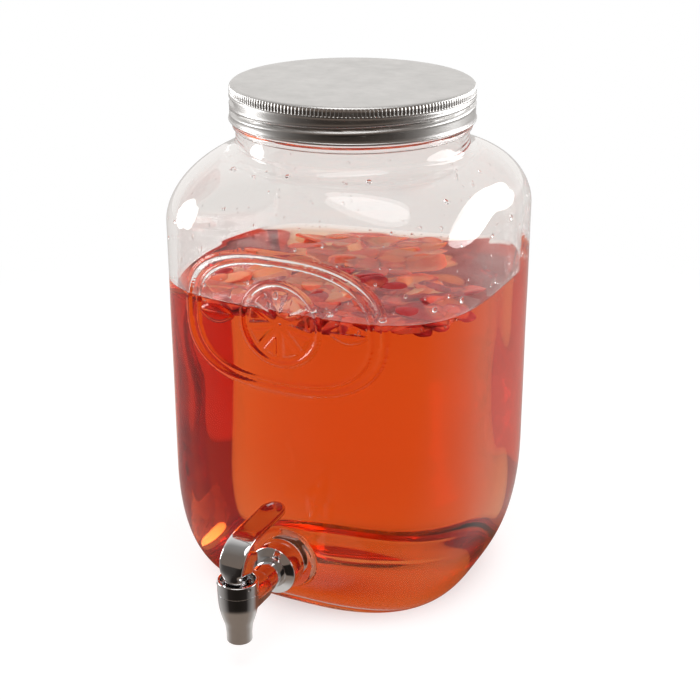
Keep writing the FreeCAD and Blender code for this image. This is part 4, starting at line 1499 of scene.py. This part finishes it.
@dataclass
class Studio:
    """The floor, the light and the camera."""

    azimuth: float = 25.37
    distance: float = 893.9
    camera_height: float = 505.6
    pitch: float = 21.68
    focal_pixels: float = 1486.4
    frame_pixels: float = 700.0
    centre_pixel: Pair = (352.65, 342.73)
    fill: float = 0.36
    lift: float = 0.82
    bent: Ramp = (
        (0.0, (0.5, 0.472, 0.455)), (0.35, (0.52, 0.49, 0.473)), (0.65, (0.62, 0.585, 0.565)),
        (0.88, (0.85, 0.81, 0.785)),
    )
    bent_turn: float = 40.0
    mirrored: Ramp = (
        (0.0, (0.2, 0.15, 0.12)), (0.35, (0.18, 0.15, 0.13)), (0.6, (0.28, 0.27, 0.26)),
        (0.88, (1.0, 0.98, 0.96)),
    )
    floor_mirrored: Ramp = (
        (0.0, (0.015, 0.012, 0.01)), (0.16, (0.025, 0.02, 0.018)), (0.42, (0.28, 0.26, 0.245)),
        (0.75, (0.48, 0.46, 0.445)),
    )
    # The floor under the tap as mirrors see it, dimmed to taupe: painted shade under the tap.
    painted_tap_shade_mirrored: Ramp = (
        (0.0, (0.24, 0.19, 0.155)), (0.25, (0.26, 0.21, 0.175)), (0.5, (0.36, 0.32, 0.29)),
        (0.8, (0.66, 0.63, 0.6)),
    )
    table: Pair = (0.3, 0.7)
    painted_tap_shade_reach: Pair = (0.046, 0.06)
    tap_spot: Point = (0.0, -0.156, 0.0)
    # Round the jar's foot the floor glows dark red-brown for mirrors: a painted shadow of the jar.
    painted_shadow_reach: Pair = (0.1, 0.15)
    painted_shadow_colour: Colour = (0.2, 0.08, 0.05)
    # Under the jar the floor's glow is lowered to a dimmer level: painted shade.
    under: Pair = (0.05, 0.11)
    painted_shade_lift: float = 0.3
    paler: Colour = (0.3, 0.3, 0.3)
    floor_half: float = 6.0
    floor_drop: float = 0.02
    sensor: float = 36.0
    bounces: int = 64
    clear_bounces: int = 24
    lamps: tuple[SoftBox, ...] = (
        SoftBox("left_box", (-1.25, -0.3, 0.4), (0, 0, 0.2), (0.5, 0.8), 7.0),
        SoftBox("right_box", (1.1, 0.85, 0.5), (0, 0, 0.2), (1.5, 0.85), 15.0),
        SoftBox("top_box", (0.1, -0.35, 1.7), (0, 0, 0.1), (1.2, 1.2), 8.0),
    )

    def camera(self) -> None:
        """Stands the camera where the photograph was taken from."""
        data = bpy.data.cameras.new("camera")
        data.sensor_width = self.sensor
        data.lens = self.sensor * self.focal_pixels / self.frame_pixels
        data.shift_x = (self.frame_pixels / 2 - self.centre_pixel[0]) / self.frame_pixels
        data.shift_y = (self.centre_pixel[1] - self.frame_pixels / 2) / self.frame_pixels
        data.clip_start = 0.01
        camera = bpy.data.objects.new("camera", data)
        turn = math.radians(self.azimuth)
        away = self.distance * MM
        camera.location = (away * math.sin(turn), -away * math.cos(turn), self.camera_height * MM)
        camera.rotation_euler = (math.radians(90 - self.pitch), 0.0, turn)
        bpy.context.scene.collection.objects.link(camera)
        bpy.context.scene.camera = camera

    def world(self) -> None:
        """Hangs a white surround to the eye, graded ones for mirrors and glass, and a plain fill."""
        world = bpy.data.worlds.new("surround")
        bpy.context.scene.world = world
        world.use_nodes = True
        sketch = Sketch(world.node_tree)
        direction = sketch.add("ShaderNodeTexCoord").outputs["Generated"]

        def surround(colour: Value, strength: float = 1.0) -> bpy.types.NodeSocket:
            """One of the surround's shaders."""
            return sketch.add("ShaderNodeBackground", Color=colour, Strength=strength).outputs[0]

        fill = surround((1.0, 0.99, 0.97), self.fill)
        bent = surround(self._level(sketch, direction, self.bent, self.bent_turn))
        mirrored = surround(self._level(sketch, direction, self.mirrored, self.azimuth))
        sketch.end(self._by_ray(sketch, fill, bent, mirrored, surround(WHITE)), "World")

    @staticmethod
    def _level(
        sketch: Sketch, direction: bpy.types.NodeSocket, levels: Ramp, degrees: float
    ) -> bpy.types.NodeSocket:
        """The surround's colour in a direction, from the front round to the back.

        Args:
            sketch: the node tree.
            direction: the direction, of length 1.
            levels: (place, colour) steps, from place 0 at the front to 1 straight behind the object.
            degrees: how far the front is turned from -Y towards +X.

        Returns:
            The colour.
        """
        turn = math.radians(degrees)
        behind = (-0.5 * math.sin(turn), 0.5 * math.cos(turn), 0.0)
        place = sketch.maths("ADD", sketch.vectors("DOT_PRODUCT", direction, behind), 0.5)
        ramp = sketch.add("ShaderNodeValToRGB", Fac=place)
        steps = ramp.color_ramp.elements
        while len(steps) < len(levels):
            steps.new(0.5)
        for step, (spot, colour) in zip(steps, levels):
            step.position = spot
            step.color = (*colour, 1.0)
        return ramp.outputs["Color"]

    @staticmethod
    def _by_ray(
        sketch: Sketch, fill: bpy.types.NodeSocket, bent: bpy.types.NodeSocket,
        mirrored: bpy.types.NodeSocket, seen: bpy.types.NodeSocket,
    ) -> bpy.types.NodeSocket:
        """Picks a shader by what sort of ray meets it.

        Args:
            sketch: the node tree.
            fill: the shader for light that falls on things.
            bent: the shader for what is seen through glass.
            mirrored: the shader for what is seen in a mirror.
            seen: the shader for what the camera sees.

        Returns:
            The picked shader.
        """
        light = sketch.add("ShaderNodeLightPath")
        result = sketch.between(light.outputs["Is Glossy Ray"], fill, mirrored)
        result = sketch.between(light.outputs["Is Transmission Ray"], result, bent)
        return sketch.between(light.outputs["Is Camera Ray"], result, seen)

    def floor(self) -> None:
        """Lays the pale floor, white to the eye with the object's soft shadow and painted shade under
        the jar.
        """
        mesh = bpy.data.meshes.new("floor")
        half = self.floor_half
        corners = [(-half, -half, 0), (half, -half, 0), (half, half, 0), (-half, half, 0)]
        mesh.from_pydata(corners, [], [(0, 1, 2, 3)])
        floor = bpy.data.objects.new("floor", mesh)
        floor.location.z = -self.floor_drop * MM
        bpy.context.scene.collection.objects.link(floor)
        material, sketch = blank("pale_floor")
        place = sketch.add("ShaderNodeTexCoord").outputs["Object"]
        grain = sketch.add("ShaderNodeTexNoise", Vector=place, Scale=60.0, Detail=4.0)
        plain = sketch.add(
            "ShaderNodeBsdfDiffuse", Color=sketch.span(grain.outputs["Fac"], (0.3, 0.7), (0.79, 0.81))
        )
        shaders = self._floor_shaders(sketch, place)
        sketch.end(self._by_ray(sketch, plain.outputs[0], *shaders))
        mesh.materials.append(material)

    def _floor_shaders(self, sketch: Sketch, place: bpy.types.NodeSocket) -> list[bpy.types.NodeSocket]:
        """The floor as glass, mirrors and the camera see it, with painted shade by the tap and jar.

        Args:
            sketch: the floor's node tree.
            place: the place on the floor.

        Returns:
            The three shaders.
        """
        away = sketch.vectors("LENGTH", place)
        from_tap = sketch.vectors("SUBTRACT", place, self.tap_spot)
        direction = sketch.vectors("NORMALIZE", from_tap)

        def glow(colour: Value, strength: Value = 1.0) -> bpy.types.NodeSocket:
            """A shader of one plain colour."""
            return sketch.add("ShaderNodeEmission", Color=colour, Strength=strength).outputs[0]

        # Painted shade: close to the tap the mirrored floor glows in dim taupe levels.
        painted_tap_shade_glow = glow(self._level(sketch, direction, self.painted_tap_shade_mirrored, self.azimuth))
        off_painted_tap_shade = sketch.span(sketch.vectors("LENGTH", from_tap), self.painted_tap_shade_reach, soft=True)
        # Painted shadow: near the jar the mirrored floor fades to the dark painted shadow colour.
        off_painted_shadow = sketch.span(away, self.painted_shadow_reach, soft=True)
        open_floor = self._level(sketch, direction, self.floor_mirrored, self.azimuth)
        painted_shadow_glow = glow(sketch.blend(off_painted_shadow, self.painted_shadow_colour, open_floor))
        mirrored = sketch.between(off_painted_tap_shade, painted_tap_shade_glow, painted_shadow_glow)
        far = sketch.span(away, self.table, soft=True)
        # The glow drops under the jar, which paints shade there.
        lift = sketch.span(away, self.under, (self.painted_shade_lift, self.lift), soft=True)
        paler = sketch.add("ShaderNodeBsdfDiffuse", Color=self.paler)
        seen = []
        for levels in (self.bent, ((0.0, WHITE), (1.0, WHITE))):
            near = sketch.add("ShaderNodeAddShader")
            sketch.feed(near.inputs[0], paler.outputs[0])
            sketch.feed(near.inputs[1], glow(levels[-1][1], lift))
            beyond = glow(self._level(sketch, direction, levels, self.bent_turn))
            seen.append(sketch.between(far, near.outputs[0], beyond))
        return [seen[0], mirrored, seen[1]]

    def build(self) -> None:
        """Sets up the whole studio."""
        scene = bpy.context.scene
        scene.view_settings.view_transform = "Standard"
        for limit in ("max_bounces", "transmission_bounces", "glossy_bounces"):
            setattr(scene.cycles, limit, self.bounces)
        scene.cycles.transparent_max_bounces = self.clear_bounces
        self.world()
        self.floor()
        for lamp in self.lamps:
            lamp.hang()
        self.camera()


CHROME = OpaqueFinish(
    "bright_chrome", (0.82, 0.82, 0.83), (0.76, 0.76, 0.77), (0.04, 0.1), 90.0, 1.0, 0.03
)
LID_METAL = OpaqueFinish(
    "satin_tinplate", (0.63, 0.62, 0.61), (0.57, 0.565, 0.555), (0.3, 0.4), 70.0, 1.0, 0.08, 0.03, 0.12
)
PIN_STEEL = OpaqueFinish(
    "plain_steel", (0.6, 0.6, 0.61), (0.5, 0.5, 0.51), (0.25, 0.4), 150.0, 1.0, 0.08
)
NUT_PLASTIC = OpaqueFinish(
    "white_plastic", (0.82, 0.82, 0.8), (0.76, 0.76, 0.74), (0.38, 0.5), 150.0, 0.0, 0.1
)
RUBBER = OpaqueFinish(
    "milky_silicone", (0.78, 0.78, 0.76), (0.7, 0.7, 0.68), (0.5, 0.65), 200.0, 0.0, 0.15
)
FOAM = OpaqueFinish(
    "white_foam", (0.86, 0.86, 0.84), (0.8, 0.8, 0.78), (0.75, 0.9), 300.0, 0.0, 0.4, 0.1
)
GLASS_BEND = 1.5
DRINK_BEND = 1.335
GLASS = ClearFinish(
    "clear_glass", (0.985, 0.988, 0.985), GLASS_BEND, (0.86, 0.86, 0.85), ripple=0.02, ripple_scale=9.0
)
WET_GLASS = replace(GLASS, name="wet_glass", bend=GLASS_BEND / DRINK_BEND)
DRINK = ClearFinish(
    "red_drink", (0.995, 0.985, 0.98), 1.001, (0.96, 0.36, 0.18), (0.945, 0.54, 0.14), 27.0, ripple=0.0
)
DRINK_SKIN = ClearFinish(
    "drink_skin", WHITE, DRINK_BEND, WHITE, ripple=0.02, ripple_scale=30.0, mirror=0.3
)
DROPS = ClearFinish("water_drops", WHITE, 1.333, (0.95, 0.95, 0.95))
AIR = ClearFinish("air_bubbles", WHITE, 0.75, (0.95, 0.9, 0.9))
RED_FRUIT = FruitFinish("red_fruit", (0.6, 0.035, 0.035), (0.34, 0.01, 0.02), (0.85, 0.15, 0.09))
SALMON_FRUIT = FruitFinish("salmon_fruit", (0.95, 0.2, 0.09), (0.8, 0.085, 0.05), (1.0, 0.33, 0.17))
PALE_FRUIT = FruitFinish("pale_fruit", (0.98, 0.32, 0.17), (0.9, 0.15, 0.08), (1.0, 0.5, 0.32))

NODE_FINISH: dict[OpaqueFinish, tuple[str, ...]] = {
    FOAM: ("lid_liner",),
    CHROME: ("tap_shank",),
    PIN_STEEL: ("stem_spring", "lever_pin", "crank_pin", "backing_washer"),
    NUT_PLASTIC: ("valve_stem", "lock_nut"),
    RUBBER: ("shank_oring", "bonnet_oring", "stem_oring", "valve_plug", "outer_gasket", "inner_gasket"),
}


CLEAR = (Patch((-FAR, -36.0), (6.0, FAR)), Patch((50.0, FAR), (-40.0, 62.0)))
FRUIT = (
    FruitKind("fruit_red", RED_FRUIT, 56, (9, 17), (2.5, 6), 3, Patch(back=(-FAR, 8.0), clear=CLEAR)),
    FruitKind(
        "fruit_salmon", SALMON_FRUIT, 70, (11, 20), (3, 7.5), 5, Patch(back=(-38.0, FAR), clear=CLEAR)
    ),
    FruitKind("fruit_pale", PALE_FRUIT, 20, (9, 16), (2.5, 5.5), 9, Patch(clear=CLEAR)),
    FruitKind(
        "fruit_front", RED_FRUIT, 12, (7, 11), (4, 7), 21, Patch((-72.0, 60.0), (-FAR, -70.0)),
        (0.4, 0.6),
    ),
)
BEADS = (
    BeadKind("drops", DROPS, 240, (0.4, 1.7), (207, 276), 0.35, 11),
    BeadKind("bubbles", AIR, 60, (0.4, 1.3), (201.5, 196), 0.9, 13),
)


class Workshop:
    """Puts the pieces on their bodies and dresses them."""

    def __init__(self) -> None:
        """Draws the shared effects."""
        self.effects = Effects()
        self.materials: dict[str, bpy.types.Material] = {}

    def material(self, finish: Finish) -> bpy.types.Material:
        """The finish's material, drawn once."""
        if finish.name not in self.materials:
            self.materials[finish.name] = finish.material(self.effects)
        return self.materials[finish.name]

    def dress(self, piece: bpy.types.Object, finish: Finish) -> None:
        """Gives a piece its one finish."""
        piece.data.materials.clear()
        piece.data.materials.append(self.material(finish))

    def line(self, piece: bpy.types.Object, finish: Finish, height: float) -> None:
        """Gives the inward and upward faces below a height a second finish."""
        piece.data.materials.append(self.material(finish))
        for face in piece.data.polygons:
            x, y, z = face.center
            inward = face.normal.z - (face.normal.x * x + face.normal.y * y) / max(math.hypot(x, y), MM)
            if z < height * MM and inward > 0.5:
                face.material_index = 1

    def fit(
        self, piece: bpy.types.Object, body: str, finish: Finish,
        node: Optional[str] = None,
    ) -> None:
        """Dresses a piece and puts it on its body.

        Args:
            piece: the piece.
            body: the body that it moves with.
            finish: its finish.
            node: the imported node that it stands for, if any.
        """
        self.dress(piece, finish)
        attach(piece, body)
        if node is not None:
            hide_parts(node)
        LOG.info("%s on %s: %d faces", piece.name, body, len(piece.data.polygons))


def main() -> None:
    """Builds the object and its studio."""
    logging.basicConfig(level=logging.INFO, format="%(name)s: %(message)s")
    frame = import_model()
    shop = Workshop()
    for finish, names in NODE_FINISH.items():
        for name in names:
            shop.dress(frame["nodes"][name], finish)
    form = JarForm()
    jar = Jar(form, Ornament()).build()
    shop.fit(jar, "jar", GLASS, "glass_jar")
    shop.line(jar, WET_GLASS, form.wet_top)
    contents = Contents(form)
    shop.fit(contents.drink(), "jar", DRINK)
    shop.fit(contents.surface(), "jar", DRINK_SKIN)
    for kind in FRUIT:
        shop.fit(contents.fruit(kind), "jar", kind.finish)
    for kind in BEADS:
        shop.fit(contents.beads(kind), "jar", kind.finish)
    shop.fit(Lid().build(), "lid", LID_METAL, "lid_cap")
    tap = Tap()
    shop.fit(tap.flange(), "jar", CHROME, "tap_flange")
    shop.fit(tap.spout(), "jar", CHROME, "spout_body")
    shop.fit(tap.bonnet(), "jar", CHROME, "bonnet")
    shop.fit(tap.lever(), "lever", CHROME, "lever_handle")
    Studio().build()


if __name__ == "__main__":
    main()
